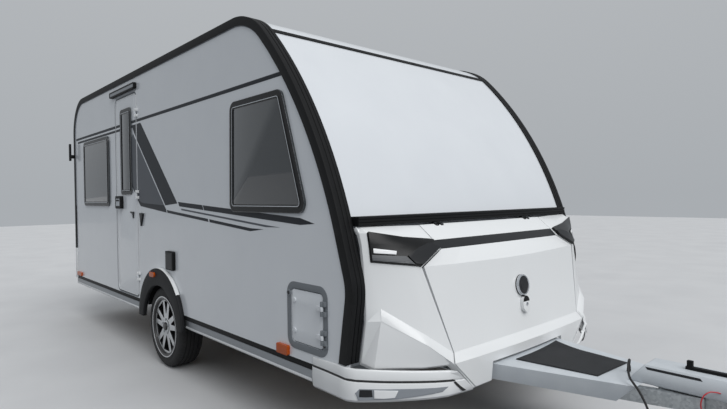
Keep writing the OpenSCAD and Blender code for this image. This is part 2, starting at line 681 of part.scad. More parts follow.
// Chassis.
rail_low = 385;
rail_w = 50;
rail_y = 535;
rail_bend = 2000;
apex_x = 3600;
taper = (cover_half - 12 - 95) / (apex_x - 2680);
function rail_out(x) = cover_half - 12 - taper * (x - 2680);
module chassis_rails() {
    color("Silver") both_sides() {
        box(-2300, rail_bend, rail_out(rail_bend) - rail_w, rail_out(rail_bend), rail_low, floor_low);
        // Brackets for the corner steadies
        for (s = STEADIES) translate([s[0], 0, 0]) {
            difference() {
                for (dy = [-30, 22]) box(-25, 25, steady_y + dy, steady_y + dy + 8, steady_z - 20, floor_low);
            }
            box(-25, 25, rail_out(rail_bend), steady_y + 30, floor_low - 8, floor_low);
            rod_y(0, steady_z, steady_y - 30, steady_y + 30, 8);
        }
    }
}
module drawbar() {
    color("Silver") {
        both_sides() translate([0, 0, rail_low]) linear_extrude(floor_low - rail_low)
            polygon([[rail_bend, rail_out(rail_bend)], [apex_x, rail_out(apex_x)],
                [apex_x, rail_out(apex_x) - rail_w], [rail_bend, rail_out(rail_bend) - rail_w]]);
        box(apex_x - 200, 3800, -70, 70, rail_low, cover_z);
        box(2100, 2160, -rail_out(2160) + rail_w, rail_out(2160) - rail_w, rail_low, rail_low + 50);
    }
}

axle_x = 170;
axle_z = 335;
arm_t = 40;
stub_r = 20;
stub_in = 37;
stub_gap = 6;
arm_y = box_y - 30;
module axle_beam() {
    color("Silver") {
        rod_y(axle_x, axle_z, -arm_y, arm_y, 48);
        both_sides() {
            box(axle_x - 70, axle_x + 70, rail_out(rail_bend) - rail_w, rail_out(rail_bend), axle_z - 30, rail_low);
            slab(arm_y - arm_t, arm_y) {
                translate([axle_x, axle_z]) circle(62);
                translate([0, hub_z]) circle(50);
                polygon([[axle_x, axle_z + 62], [axle_x, axle_z - 62], [0, hub_z - 50], [0, hub_z + 50]]);
            }
            rod_y(0, hub_z, arm_y, tyre_face_y - stub_in, stub_r);
            rod_y(0, hub_z, arm_y, arm_y + 50, 115);
        }
    }
}

// Drawbar cover: an inverted tray over the two rails.
cover_x0 = 2640;
cover_x1 = 3340;
cover_low = 377;
function cover_y(x) = cover_half - taper * (x - 2680);
module cover_outline(d, e) {
    polygon([[cover_x0, -cover_y(cover_x0) + d], [cover_x1 - e, -cover_y(cover_x1) + d],
        [cover_x1 - e, cover_y(cover_x1) - d], [cover_x0, cover_y(cover_x0) - d]]);
}
module drawbar_cover() {
    color("White") difference() {
        translate([0, 0, cover_low]) linear_extrude(cover_z - cover_low) cover_outline(0, 0);
        translate([0, 0, cover_low - 1]) linear_extrude(floor_low - cover_low + 1) cover_outline(8, -5);
        translate([cover_x1, -300, cover_low]) rotate([0, 45, 0]) translate([-60, 0, -60]) cube([120, 600, 120]);
    }
    // Gland where the supply cable comes up
    color("White") translate([SUPPLY_ROUTE[0][0], SUPPLY_ROUTE[0][1], cover_z]) cylinder(h = gland_h, r = 11);
}
hump_half = 100;
module nose_cover() {
    color("White") difference() {
        rear_face(3270, 3790) polygon([[-hump_half, cover_z], [-hump_half, 505], [-74, 548], [74, 548], [hump_half, 505], [hump_half, cover_z]]);
        rear_face(3280, 3800) polygon([[-hump_half + 5, cover_z - 1], [-hump_half + 5, 503], [-72, 543], [72, 543], [hump_half - 5, 503], [hump_half - 5, cover_z - 1]]);
        translate([3270, -150, cover_z]) rotate([0, -50, 0]) translate([0, 0, 0]) cube([200, 300, 100]);
    }
}
tube_z = 503;
module overrun_gear() {
    color("Silver") {
        rod_x(3400, 3810, 0, tube_z, 36);
        for (x = [3430, 3700]) box(x, x + 70, -40, 40, cover_z, tube_z);
    }
}
module gaiter() {
    color([0.1, 0.1, 0.1]) for (k = [0:4]) rod_x(3810 + k * 14, 3824 + k * 14, 0, tube_z, k % 2 == 0 ? 34 : 40);
}
module coupling() {
    color("DimGray") {
        rod_x(3880, 3960, 0, tube_z, 26);
        difference() {
            union() {
                translate([ball_x, 0, ball_z - 25]) cylinder(h = 72, r = 44);
                box(3930, ball_x, -40, 40, ball_z - 25, ball_z + 70);
                box(ball_x, tip_x, -18, 18, ball_z + 5, ball_z + 30);
            }
            translate([ball_x, 0, ball_z]) sphere(r = socket_r);
            translate([ball_x, 0, ball_z - 30]) cylinder(h = 30, r = socket_r);
        }
        translate([tip_x - 140, -16, ball_z + 66]) rotate([0, -40, 0]) cube([170, 32, 14]);
    }
}
module handbrake_lever() {
    color([0.1, 0.1, 0.11]) {
        box(3500, 3740, -14, 14, 548, 562);
        box(3505, 3530, -10, 10, 562, 590);
    }
}

// Jockey wheel on the left of the drawbar's apex.
jockey_x = 3740;
jockey_y = 135;
tube_r = 31;
tube_low = 400;
tube_top = 820;
lift = 150;
castor = 40;
module jockey_tube() {
    color("Silver") {
        difference() {
            union() {
                translate([jockey_x, jockey_y, tube_low]) cylinder(h = tube_top - tube_low, r = tube_r);
                box(jockey_x - 40, jockey_x + 40, 70, jockey_y, 405, 450);
            }
            translate([jockey_x, jockey_y, tube_low - 1]) cylinder(h = tube_top - tube_low - 11, r = stem_r + run_gap);
        }
        translate([jockey_x, jockey_y, tube_top]) cylinder(h = 30, r = 10);
        translate([jockey_x, jockey_y, tube_top + 20]) rotate([0, 90, 0]) cylinder(h = 120, r = 7);
        translate([jockey_x + 120, jockey_y, tube_top + 14]) cylinder(h = 90, r = 11);
    }
}
fork_z = 236;
module jockey_stem() {
    color("Silver") {
        translate([jockey_x, jockey_y, fork_z]) cylinder(h = 400, r = stem_r);
        translate([jockey_x, jockey_y, fork_z - 24]) cylinder(h = 25, r = 10);
    }
}
module jockey_fork() {
    color("Silver") translate([jockey_x, jockey_y, 0]) {
        difference() {
            box(-40 - 15, 30, -38, 38, fork_z - 14, fork_z - run_gap);
            translate([0, 0, fork_z - 30]) cylinder(h = 40, r = 10 + run_gap);
        }
        for (y = [-38, 32]) slab(y, y + 6) difference() {
            rounded([[-castor - 18, jockey_r - 18], [-castor + 18, jockey_r - 18], [28, fork_z - 10], [-52, fork_z - 10]], 5);
        }
        rod_y(-castor, jockey_r, -40, 40, 8);
    }
}
module jockey_wheel() {
    color([0.15, 0.15, 0.15]) translate([jockey_x - castor, jockey_y, jockey_r]) rotate([90, 0, 0]) rotate_extrude()
        difference() {
            rounded([[8 + run_gap, -25], [jockey_r, -25], [jockey_r, 25], [8 + run_gap, 25]], 6);
            square([8 + run_gap, 80], center = true);
        }
}

// Corner steadies: pivot x, and the side that the foot points to when it is up.
STEADIES = [[-1950, -1], [1700, 1]];
steady_y = 700;
steady_z = 400;
steady_len = 430;
module steady(s) {
    color("Silver") translate([s[0], 0, 0]) scale([1, 1, 1]) {
        difference() {
            union() {
                rod_y(0, steady_z, steady_y - 21, steady_y + 21, 16);
                box(s[1] < 0 ? -steady_len : 0, s[1] < 0 ? 0 : steady_len, steady_y - 21, steady_y + 21, steady_z - 14, steady_z + 14);
                box(s[1] * steady_len - 10, s[1] * steady_len + 10, steady_y - 60, steady_y + 60, steady_z - 40, steady_z + 40);
            }
            rod_y(0, steady_z, steady_y - 30, steady_y + 30, 8 + run_gap);
        }
    }
}
module steady_rear_left() { steady(STEADIES[0]); }
module steady_rear_right() { mirror([0, 1, 0]) steady(STEADIES[0]); }
module steady_front_left() { steady(STEADIES[1]); }
module steady_front_right() { mirror([0, 1, 0]) steady(STEADIES[1]); }

// Left side: two fridge vents, water filler and mains inlet.
module left_fittings() {
    color("WhiteSmoke") {
        on_wall(1, 12) panel(700, 1150, 640, 860, 12);
        on_wall(1, 12) panel(700, 1150, 1500, 1720, 12);
        on_wall(1, 20) panel(-1050, -900, 700, 850, 14);
        on_wall(1, 20) panel(-1300, -1150, 700, 850, 14);
    }
}

mat_t = 6;
module drawbar_mat() {
    color([0.15, 0.15, 0.16]) translate([0, 0, cover_z]) linear_extrude(mat_t)
        polygon([[2715, -215], [3150, -165], [3170, 160], [2722, 225]]);
}

// Cables: a tube of even size along a list of points.
CABLE_SIDES = 8;
gland_h = 6;
SUPPLY_ROUTE = [[3232, 15, cover_z + gland_h], [3234, 14, 500], [3244, -4, 532], [3258, -52, 542], [3276, -108, 520],
    [3300, -152, 493], [3332, -184, 476], [3362, -202, 452], [3390, -210, 410], [3412, -216, 360], [3430, -224, 290],
    [3440, -232, 200], [3446, -240, 110], [3456, -250, 52], [3480, -262, 20], [3520, -276, 12], [3566, -290, 18],
    [3604, -299.5, 30], [3640, -308, 30]];
supply_r = 5.5;
BREAKAWAY_ROUTE = [[3664, -101, 498], [3652, -115, 503], [3632, -138, 505], [3614, -158, 488], [3606, -168, 455],
    [3612, -168, 420], [3634, -156, 392], [3672, -132, 378], [3725, -100, 374], [3790, -74, 382]];
breakaway_r = 3;
function dir(p, i) = unit(p[min(i + 1, len(p) - 1)] - p[max(i - 1, 0)]);
function side_of(d) = unit(cross(d, [0, 1, 0]));
function ring(p, d, r) = let (a = side_of(d), b = cross(d, a))
    [for (k = [0:CABLE_SIDES - 1]) p + r * (cos(k * 360 / CABLE_SIDES) * a + sin(k * 360 / CABLE_SIDES) * b)];
module cable(route, r) {
    n = len(route);
    m = CABLE_SIDES;
    pts = [for (i = [0:n - 1]) each ring(route[i], dir(route, i), r)];
    faces = concat(
        [for (i = [0:n - 2], k = [0:m - 1]) each [
            [i * m + k, (i + 1) * m + (k + 1) % m, i * m + (k + 1) % m], [i * m + k, (i + 1) * m + k, (i + 1) * m + (k + 1) % m]]],
        [[for (k = [0:m - 1]) k], [for (k = [m - 1:-1:0]) (n - 1) * m + k]]
    );
    polyhedron(pts, faces);
}
module supply_cable() { color([0.1, 0.1, 0.1]) cable(SUPPLY_ROUTE, supply_r); }
module supply_plug() {
    color([0.12, 0.12, 0.12]) translate([3660, -312, 30]) rotate([0, 90, -12]) {
        cylinder(h = 70, r = 28);
        translate([0, 0, -20]) cylinder(h = 20, r = 16);
    }
}
module breakaway_cable() { color("Crimson") cable(BREAKAWAY_ROUTE, breakaway_r); }

// Wheels: tyre on an alloy rim with five twin spokes.
bead_r = rim_r - 22;
bead_in = 16;
module tyre_section() {
    rounded([[bead_r + run_gap, -tyre_w / 2 + bead_in], [tyre_r - 30, -tyre_w / 2], [tyre_r, -tyre_w / 2 + 24], [tyre_r, tyre_w / 2 - 24],
        [tyre_r - 30, tyre_w / 2], [bead_r + run_gap, tyre_w / 2 - bead_in]], 8);
}
module tyre() {
    color([0.12, 0.12, 0.12]) translate([0, -tyre_face_y + tyre_w / 2, hub_z]) rotate([90, 0, 0])
        rotate_extrude($fn = 96) tyre_section();
}
spokes = 5;
spoke_turn = 360 / spokes;
hub_r = 70;
// A pocket in the rim's face: its inner corner and its two outer ones, turned about the hub.
function polar(r, a) = r * [cos(a), sin(a)];
module pocket(a, r0, r1, half) { polygon(chorded([polar(r0, a), polar(r1, a - half), polar(r1, a + half)], 5, 4)); }
module rim() {
    color("Silver") translate([0, -tyre_face_y, hub_z]) rotate([90, 0, 0]) {
        rotate_extrude($fn = 96) polygon([[bead_r - 12, -tyre_w + 12], [bead_r, -tyre_w + 12], [bead_r, -12], [rim_r, -9],
            [rim_r, -2], [bead_r - 2, -2], [bead_r - 12, -24]]);
        difference() {
            union() {
                translate([0, 0, -48]) linear_extrude(26) difference() {
                    circle(bead_r - 6, $fn = 96);
                    for (k = [0:spokes - 1]) {
                        pocket(90 + k * spoke_turn, hub_r + 22, bead_r - 18, 9);
                        pocket(90 + (k + 0.5) * spoke_turn, hub_r, bead_r - 18, 17);
                    }
                }
                translate([0, 0, -70]) cylinder(h = 52, r = hub_r - 10);
            }
            translate([0, 0, -71]) cylinder(h = 71 - stub_in + stub_gap, r = stub_r + run_gap);
        }
    }
}
module tyre_right() { tyre(); }
module rim_right() { rim(); }
module tyre_left() { mirror([0, 1, 0]) tyre(); }
module rim_left() { mirror([0, 1, 0]) rim(); }

place() floor_panel();
place() wall_right();
place() wall_left();
place() roof_panel();
place() front_panel();
place() rear_panel();
place() bulkhead();
place() locker_tray();
place() front_strips();
place() sill_rails();
place() sill_inserts();
place() wheel_arches();
place() wheel_boxes();
place() window_frames();
place() window_panes();
place() awning_lamp();
place() socket_box();
place() side_markers();
place() locker_shell();
place() front_lamps();
place() front_bumpers();
place() rear_bumper();
place() rear_lamps();
place() end_markers();
place() rooflights();
place() chassis_rails();
place() drawbar();
place() axle_beam();
place() drawbar_cover();
place() nose_cover();
place() overrun_gear();
place() gaiter();
place() coupling();
place() handbrake_lever();
place() jockey_tube();
place() left_fittings();
place() drawbar_mat();
place() door_leaf();
place() door_window();
place() door_handle();
place() flap_right();
place() flap_left();
place() locker_lid();
place() locker_lock();
place() tyre_right();
place() rim_right();
place() tyre_left();
place() rim_left();
place() jockey_stem();
place() jockey_fork();
place() jockey_wheel();
place() steady_rear_right();
place() steady_rear_left();
place() steady_front_right();
place() steady_front_left();
place() edge_trims();
place() door_frames();
place() supply_cable();
place() supply_plug();
place() breakaway_cable();
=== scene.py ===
# Single-axle travel caravan, parked on its wheels and its jockey wheel.
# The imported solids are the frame; this script gives them their finishes and adds
# the stripes, tyres, lamps, cables and small fittings. Metres, X forward, Y left, Z up.
import math

import bmesh
import bpy
from mathutils import Matrix, Vector


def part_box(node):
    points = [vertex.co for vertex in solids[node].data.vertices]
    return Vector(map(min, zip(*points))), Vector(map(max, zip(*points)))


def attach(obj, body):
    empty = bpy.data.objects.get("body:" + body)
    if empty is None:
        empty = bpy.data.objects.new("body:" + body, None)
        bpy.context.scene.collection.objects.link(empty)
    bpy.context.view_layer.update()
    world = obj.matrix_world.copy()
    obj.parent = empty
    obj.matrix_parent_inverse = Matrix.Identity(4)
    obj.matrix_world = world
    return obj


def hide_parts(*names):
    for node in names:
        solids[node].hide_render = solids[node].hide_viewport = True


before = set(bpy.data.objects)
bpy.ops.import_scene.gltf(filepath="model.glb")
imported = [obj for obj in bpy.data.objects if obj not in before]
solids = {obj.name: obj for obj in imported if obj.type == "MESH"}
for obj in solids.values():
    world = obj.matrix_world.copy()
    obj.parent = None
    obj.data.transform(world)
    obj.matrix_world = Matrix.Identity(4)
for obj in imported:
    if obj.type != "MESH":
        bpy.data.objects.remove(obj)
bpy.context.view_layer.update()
AXLE = -0.715  # x of the axle in this frame
WALL = 1.150  # outer face of a side wall, from the middle
FACE = WALL * 1000  # the same in millimetres
SIDES = ((-1, "right"), (1, "left"))


# The yard: a pale concrete floor under an even white sky, with one broad soft
# light from ahead and above. The camera stands ahead of the right front corner.
def linear(code):
    """Linear colour of an sRGB hex code."""
    parts = [int(code[i : i + 2], 16) / 255 for i in (1, 3, 5)]
    return [c / 12.92 if c <= 0.04045 else ((c + 0.055) / 1.055) ** 2.4 for c in parts] + [1.0]


def add(tree, kind, links=(), to=None, **settings):
    """Adds a node; links is (input, value or output) pairs, to is the socket that its first output feeds."""
    node = tree.nodes.new(kind)
    for key, value in settings.items():
        setattr(node, key, value)
    for key, value in links:
        if isinstance(value, bpy.types.NodeSocket):
            tree.links.new(value, node.inputs[key])
        else:
            node.inputs[key].default_value = value
    if to is not None:
        tree.links.new(node.outputs[0], to)
    return node


def tint(ramp, *codes):
    """Colours the stops of a ramp."""
    for stop, code in zip(ramp.color_ramp.elements, codes):
        stop.color = linear(code)


def seen(tree):
    """1 for what the camera sees, also mirrored or through glass, and 0 for what only lights the scene."""
    path = add(tree, "ShaderNodeLightPath").outputs
    share = path["Is Camera Ray"]
    for kind in ("Is Glossy Ray", "Is Transmission Ray"):
        share = add(tree, "ShaderNodeMath", [(0, share), (1, path[kind])], operation="MAXIMUM").outputs[0]
    return share


def new_finish(name, code, roughness, **sockets):
    """A material; returns it with its tree, its shader's inputs and the object's coordinates."""
    made = bpy.data.materials.new(name)
    made.use_nodes = True
    tree = made.node_tree
    skin = tree.nodes["Principled BSDF"].inputs
    skin["Base Color"].default_value = linear(code)
    skin["Roughness"].default_value = roughness
    for key, value in sockets.items():
        skin[key.replace("_", " ")].default_value = value
    return made, tree, skin, add(tree, "ShaderNodeTexCoord").outputs["Object"]


concrete, tree, skin, place = new_finish("pale_concrete", "#c9cacb", 0.85)
cloud = add(tree, "ShaderNodeTexNoise", [("Vector", place), ("Scale", 1.4), ("Detail", 6.0)])
tone = add(tree, "ShaderNodeValToRGB", [("Fac", cloud.outputs["Fac"])])
tint(tone, "#bfc0c2", "#d0d1d2")
# What bounces off the floor is darker than what the camera sees.
mix = [("Factor", seen(tree)), ("A", linear("#74777b")), ("B", tone.outputs["Color"])]
shade = add(tree, "ShaderNodeMix", mix, data_type="RGBA")
tree.links.new(shade.outputs["Result"], skin["Base Color"])

bpy.ops.mesh.primitive_plane_add(size=60)
floor = bpy.context.object
floor.name = "floor"
floor.data.materials.append(concrete)

sky = bpy.data.worlds.new("even_sky")
sky.use_nodes = True
bpy.context.scene.world = sky
tree = sky.node_tree
ray = add(tree, "ShaderNodeTexCoord").outputs["Generated"]
height = add(tree, "ShaderNodeSeparateXYZ", [(0, ray)]).outputs["Z"]
light = add(tree, "ShaderNodeValToRGB", [("Fac", height)])
tint(light, "#6c737b", "#f4f7fa")
light.color_ramp.elements[1].position = 0.75
backdrop = add(tree, "ShaderNodeValToRGB", [("Fac", height)])
tint(backdrop, "#c6cbd0", "#e6e9ec")
mix = [("Factor", seen(tree)), ("A", light.outputs["Color"]), ("B", backdrop.outputs["Color"])]
shade = add(tree, "ShaderNodeMix", mix, data_type="RGBA")
tree.links.new(shade.outputs["Result"], tree.nodes["Background"].inputs["Color"])
tree.nodes["Background"].inputs["Strength"].default_value = 0.7

sun = bpy.data.lights.new("broad_light", "SUN")
sun.energy = 1.9
sun.angle = math.radians(50)
sun_spot = bpy.data.objects.new("broad_light", sun)
bpy.context.collection.objects.link(sun_spot)
sun_way = Vector((-0.9, 0.1, -0.85))
sun_spot.rotation_euler = sun_way.to_track_quat("-Z", "Y").to_euler()

yaw, pitch, roll = (math.radians(a) for a in (42.273, 0.894, -0.68))
ahead = Vector((-math.cos(yaw) * math.cos(pitch), math.sin(yaw) * math.cos(pitch), -math.sin(pitch)))
right = Vector((math.sin(yaw), math.cos(yaw), 0))
up = right.cross(ahead)
right, up = (
    math.cos(roll) * right + math.sin(roll) * up,
    math.cos(roll) * up - math.sin(roll) * right,
)
lens = bpy.data.cameras.new("camera")
lens.lens = 25.93
lens.sensor_width = 36
camera = bpy.data.objects.new("camera", lens)
bpy.context.collection.objects.link(camera)
camera_spot = Matrix.Translation((3.5978, -2.8128, 1.3901))
camera.matrix_world = camera_spot @ Matrix((right, up, -ahead)).transposed().to_4x4()
bpy.context.scene.camera = camera
bpy.context.scene.view_settings.view_transform = "Standard"


# The road lead and the breakaway wire: a black rubber-sheathed lead that loops up from the
# drawbar cover and down to its plug, and a thin red plastic-coated wire rope. Each is drawn
# as a round cord along the points that it passes.
CORD_STEPS = 4


def piece(name, points, faces, finish, body="body", smooth=False):
    """A mesh piece in the caravan's frame that rides on a body."""
    mesh = bpy.data.meshes.new(name)
    mesh.from_pydata([tuple(p) for p in points], [], faces)
    work = bmesh.new()
    work.from_mesh(mesh)
    bmesh.ops.recalc_face_normals(work, faces=work.faces)
    work.to_mesh(mesh)
    work.free()
    made = bpy.data.objects.new(name, mesh)
    bpy.context.collection.objects.link(made)
    made.data.materials.append(finish)
    if smooth:
        mesh.polygons.foreach_set("use_smooth", [True] * len(mesh.polygons))
    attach(made, body)
    return made


def at(x, y, z):
    """A point given in millimetres from the axle."""
    return Vector((x / 1000 + AXLE, y / 1000, z / 1000))


def cord(name, route, radius, finish):
    """A round cord along a smooth line through the route's points."""
    points = [at(*p) for p in route]
    line = []
    for i in range(len(points) - 1):
        a, b = points[max(i - 1, 0)], points[i]
        c, d = points[i + 1], points[min(i + 2, len(points) - 1)]
        for k in range(CORD_STEPS):
            t = k / CORD_STEPS
            bend = (2 * a - 5 * b + 4 * c - d) * t**2 + (3 * b - a - 3 * c + d) * t**3
            line.append(0.5 * (2 * b + (c - a) * t + bend))
    line.append(points[-1])
    curve = bpy.data.curves.new(name, "CURVE")
    curve.dimensions = "3D"
    curve.bevel_depth = radius
    curve.bevel_resolution = 4
    curve.use_fill_caps = True
    run = curve.splines.new("POLY")
    run.points.add(len(line) - 1)
    for spot, p in zip(run.points, line):
        spot.co = (*p, 1)
    made = bpy.data.objects.new(name, curve)
    bpy.context.collection.objects.link(made)
    made.data.materials.append(finish)
    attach(made, "body")
    return made, line, sum((q - p).length for p, q in zip(line, line[1:]))


# Moulded rubber sheath: near black, matt, with a faint mottle.
sheath, tree, skin, place = new_finish("moulded_rubber_black", "#1a1a1b", 0.62)
grit = add(tree, "ShaderNodeTexNoise", [("Vector", place), ("Scale", 400.0), ("Detail", 3.0)])
add(tree, "ShaderNodeBump", [("Height", grit.outputs["Fac"]), ("Strength", 0.25), ("Distance", 0.0004)],
    skin["Normal"])

wire_red, tree, skin, place = new_finish("plastic_coated_wire_red", "#b4202e", 0.35, Coat_Weight=0.4)
lay = add(tree, "ShaderNodeTexWave", [("Vector", place), ("Scale", 60.0)], bands_direction="DIAGONAL")
add(tree, "ShaderNodeBump", [("Height", lay.outputs["Fac"]), ("Strength", 0.3), ("Distance", 0.0005)],
    skin["Normal"])

SUPPLY = [
    (3232, 15, 468), (3234, 14, 500), (3244, -4, 532), (3258, -52, 542), (3276, -108, 520),
    (3300, -152, 493), (3332, -184, 476), (3362, -202, 452), (3390, -210, 410), (3412, -216, 360),
    (3430, -224, 290), (3440, -232, 200), (3446, -240, 110), (3456, -250, 52), (3480, -262, 20),
    (3520, -276, 12), (3566, -290, 18), (3604, -299.5, 30), (3640, -308, 30),
]
supply, line, span = cord("supply_lead", SUPPLY, 0.0055, sheath)
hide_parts("supply_cable")
BREAKAWAY = [
    (3664, -101, 498), (3652, -115, 503), (3632, -138, 505), (3614, -158, 488), (3606, -168, 455),
    (3612, -168, 420), (3634, -156, 392), (3672, -132, 378), (3725, -100, 374), (3790, -74, 382),
]
breakaway, line, span = cord("breakaway_wire", BREAKAWAY, 0.003, wire_red)
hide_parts("breakaway_cable")


# Strain relief: a ribbed, tapered boot of moulded rubber where the road lead leaves its gland on
# the cover. It is turned round the lead's first run and sits on the gland.
def turned(name, profile, foot, axis, finish, body="body", steps=48, ring=False, dent=None):
    """A turned solid: profile is radius and height along an axis from its foot, in metres."""
    side = axis.cross(Vector((0.31, 0.17, 0.93))).normalized()  # from any direction off the axis
    other = axis.cross(side)
    loops = []
    for k, (radius, height) in enumerate(profile):
        loop = []
        for i in range(steps):
            turn = 2 * math.pi * i / steps
            reach = max(radius - (dent(k, i) if dent else 0.0), 0.0001)
            loop.append(foot + axis * height + (side * math.cos(turn) + other * math.sin(turn)) * reach)
        loops.append(loop)
    return loft(name, loops, finish, body, ring=ring)


def loft(name, loops, finish, body="body", edge=0.0, ring=False):
    """A closed, capped solid through loops of equally many points, or a ring that joins its ends."""
    n = len(loops[0])
    pairs = [(k, k + 1) for k in range(len(loops) - 1)]
    faces = []
    if ring:
        pairs.append((len(loops) - 1, 0))
    else:
        faces = [list(range(n)), list(range((len(loops) - 1) * n, len(loops) * n))]
    for a, b in pairs:
        faces += [[a * n + i, a * n + (i + 1) % n, b * n + (i + 1) % n, b * n + i] for i in range(n)]
    made = piece(name, [q for loop in loops for q in loop], faces, finish, body)
    soften(made, edge)
    return made


def soften(thing, edge, angle=40, crease=32):
    """Welds a mesh's faces, rounds its edges by a small radius and shades the shallow ones smooth."""
    weld = thing.modifiers.new("weld", "WELD")
    weld.merge_threshold = 0.00002
    if edge:
        rounding = thing.modifiers.new("edge", "BEVEL")
        rounding.width = edge
        rounding.segments = 3
        rounding.limit_method = "ANGLE"
        rounding.angle_limit = math.radians(angle)
        rounding.use_clamp_overlap = True
    split = thing.modifiers.new("shade", "EDGE_SPLIT")
    split.split_angle = math.radians(crease)
    thing.data.polygons.foreach_set("use_smooth", [True] * len(thing.data.polygons))


BOOT = [
    (0.0105, 0.0), (0.0105, 0.004), (0.0098, 0.005), (0.0098, 0.009), (0.0103, 0.010), (0.0099, 0.014),
    (0.0091, 0.015), (0.0091, 0.019), (0.0096, 0.020), (0.0090, 0.024), (0.0082, 0.025), (0.0078, 0.030),
    (0.0062, 0.034),
]
gland, next_spot = at(*SUPPLY[0]), at(*SUPPLY[1])
turned("lead_boot", BOOT, gland, (next_spot - gland).normalized(), sheath)


# Chassis: folded steel rails, drawbar, axle and steadies, hot-dip galvanised after welding.
# Zinc crystals give patches about 12 mm across of slightly different grey.
def dress(finish, *names, edge=0.0, crease=32):
    """Gives solids their finish and their rounded edges."""
    for name in names:
        solid = solids[name]
        solid.data.materials.clear()
        solid.data.materials.append(finish)
        soften(solid, edge, crease=crease)


zinc, tree, skin, place = new_finish("hot_dip_galvanised_steel", "#a4a8ab", 0.45, Metallic=0.85)
spangle = add(tree, "ShaderNodeTexVoronoi", [("Vector", place), ("Scale", 1 / 0.012)])
tone = add(tree, "ShaderNodeValToRGB", [("Fac", spangle.outputs["Color"])], skin["Base Color"])
tint(tone, "#8f9497", "#b4b8ba")
dress(zinc, "chassis_rails", "drawbar", "axle_beam", "overrun_gear", "jockey_tube", "jockey_stem",
      "jockey_fork", "steady_rear_right", "steady_rear_left", "steady_front_right",
      "steady_front_left", "locker_tray", edge=0.002)

# Coupling head: cast iron in dark grey paint with a slight orange peel, about 3 mm. The gaiter
# behind it, the plug and the jockey wheel's tyre are moulded rubber.
dark_paint, tree, skin, place = new_finish("dark_grey_paint", "#2a2b2d", 0.4, Coat_Weight=0.3)
peel = add(tree, "ShaderNodeTexNoise", [("Vector", place), ("Scale", 1 / 0.003), ("Detail", 2.0)])
add(tree, "ShaderNodeBump", [("Height", peel.outputs["Fac"]), ("Strength", 0.2), ("Distance", 0.0004)],
    skin["Normal"])
dress(dark_paint, "coupling", edge=0.003)
dress(sheath, "gaiter", "supply_plug", "jockey_wheel", edge=0.002)


# Floor: a birch plywood sandwich, sealed below, with long grain about 8 mm between lines.
# Its upper face and edges carry a pale grey laminate.
ply, tree, skin, place = new_finish("sealed_birch_plywood", "#b08a5a", 0.55)
along = add(tree, "ShaderNodeMapping", [("Vector", place), ("Scale", (6.0, 120.0, 120.0))])
long_way = along.outputs["Vector"]
grain = add(tree, "ShaderNodeTexNoise", [("Vector", long_way), ("Scale", 1.0), ("Detail", 5.0)])
tone = add(tree, "ShaderNodeValToRGB", [("Fac", grain.outputs["Fac"])], skin["Base Color"])
tint(tone, "#9a764a", "#c09c6c")
dress(ply, "floor_panel")
laminate, tree, skin, place = new_finish("laminate_pale_grey", "#a9adb0", 0.5)
fleck = add(tree, "ShaderNodeTexNoise", [("Vector", place), ("Scale", 1 / 0.006), ("Detail", 4.0)])
tone = add(tree, "ShaderNodeValToRGB", [("Fac", fleck.outputs["Fac"])], skin["Base Color"])
tint(tone, "#9da1a5", "#b4b8bb")
panel = solids["floor_panel"].data
panel.materials.append(laminate)
for face in panel.polygons:
    face.material_index = 0 if face.normal.z < -0.5 else 1


# Body skin: walls, roof, front, rear, door and flaps of white gel-coated sheet on a foam core.
# High gloss, with shallow waves about 120 mm across that bend what it mirrors.
gelcoat, tree, skin, place = new_finish("gelcoated_sheet_white", "#dde1e5", 0.22, Coat_Weight=0.5)
wave = add(tree, "ShaderNodeTexNoise", [("Vector", place), ("Scale", 1 / 0.12), ("Detail", 1.0)])
add(tree, "ShaderNodeBump", [("Height", wave.outputs["Fac"]), ("Strength", 0.12), ("Distance", 0.004)],
    skin["Normal"])
haze = add(tree, "ShaderNodeTexNoise", [("Vector", place), ("Scale", 3.0), ("Detail", 5.0)])
tone = add(tree, "ShaderNodeValToRGB", [("Fac", haze.outputs["Fac"])], skin["Base Color"])
tint(tone, "#d8dce1", "#e1e5e9")
dress(gelcoat, "wall_right", "wall_left", "roof_panel", "front_panel", "rear_panel", "bulkhead")
dress(gelcoat, "door_leaf", "flap_right", "flap_left", edge=0.002)


# Nose mouldings: locker corners, lid, bumpers of white vacuum-formed plastic.
# Gloss a little softer than the walls, with a fine leather-like grain about 2 mm.
# The same white also serves as painted highlight on the arches' outer sides.
moulding_and_highlight, tree, skin, place = new_finish("vacuum_formed_white_and_painted_highlight", "#e6e8e9", 0.3, Coat_Weight=0.3)
grain = add(tree, "ShaderNodeTexNoise", [("Vector", place), ("Scale", 1 / 0.002), ("Detail", 2.0)])
add(tree, "ShaderNodeBump", [("Height", grain.outputs["Fac"]), ("Strength", 0.06), ("Distance", 0.0005)],
    skin["Normal"])
dress(moulding_and_highlight, "front_bumpers", "rear_bumper", "left_fittings", edge=0.004)
dress(moulding_and_highlight, "locker_shell", edge=0.003, crease=16)
dress(moulding_and_highlight, "locker_lid", edge=0.003, crease=11)
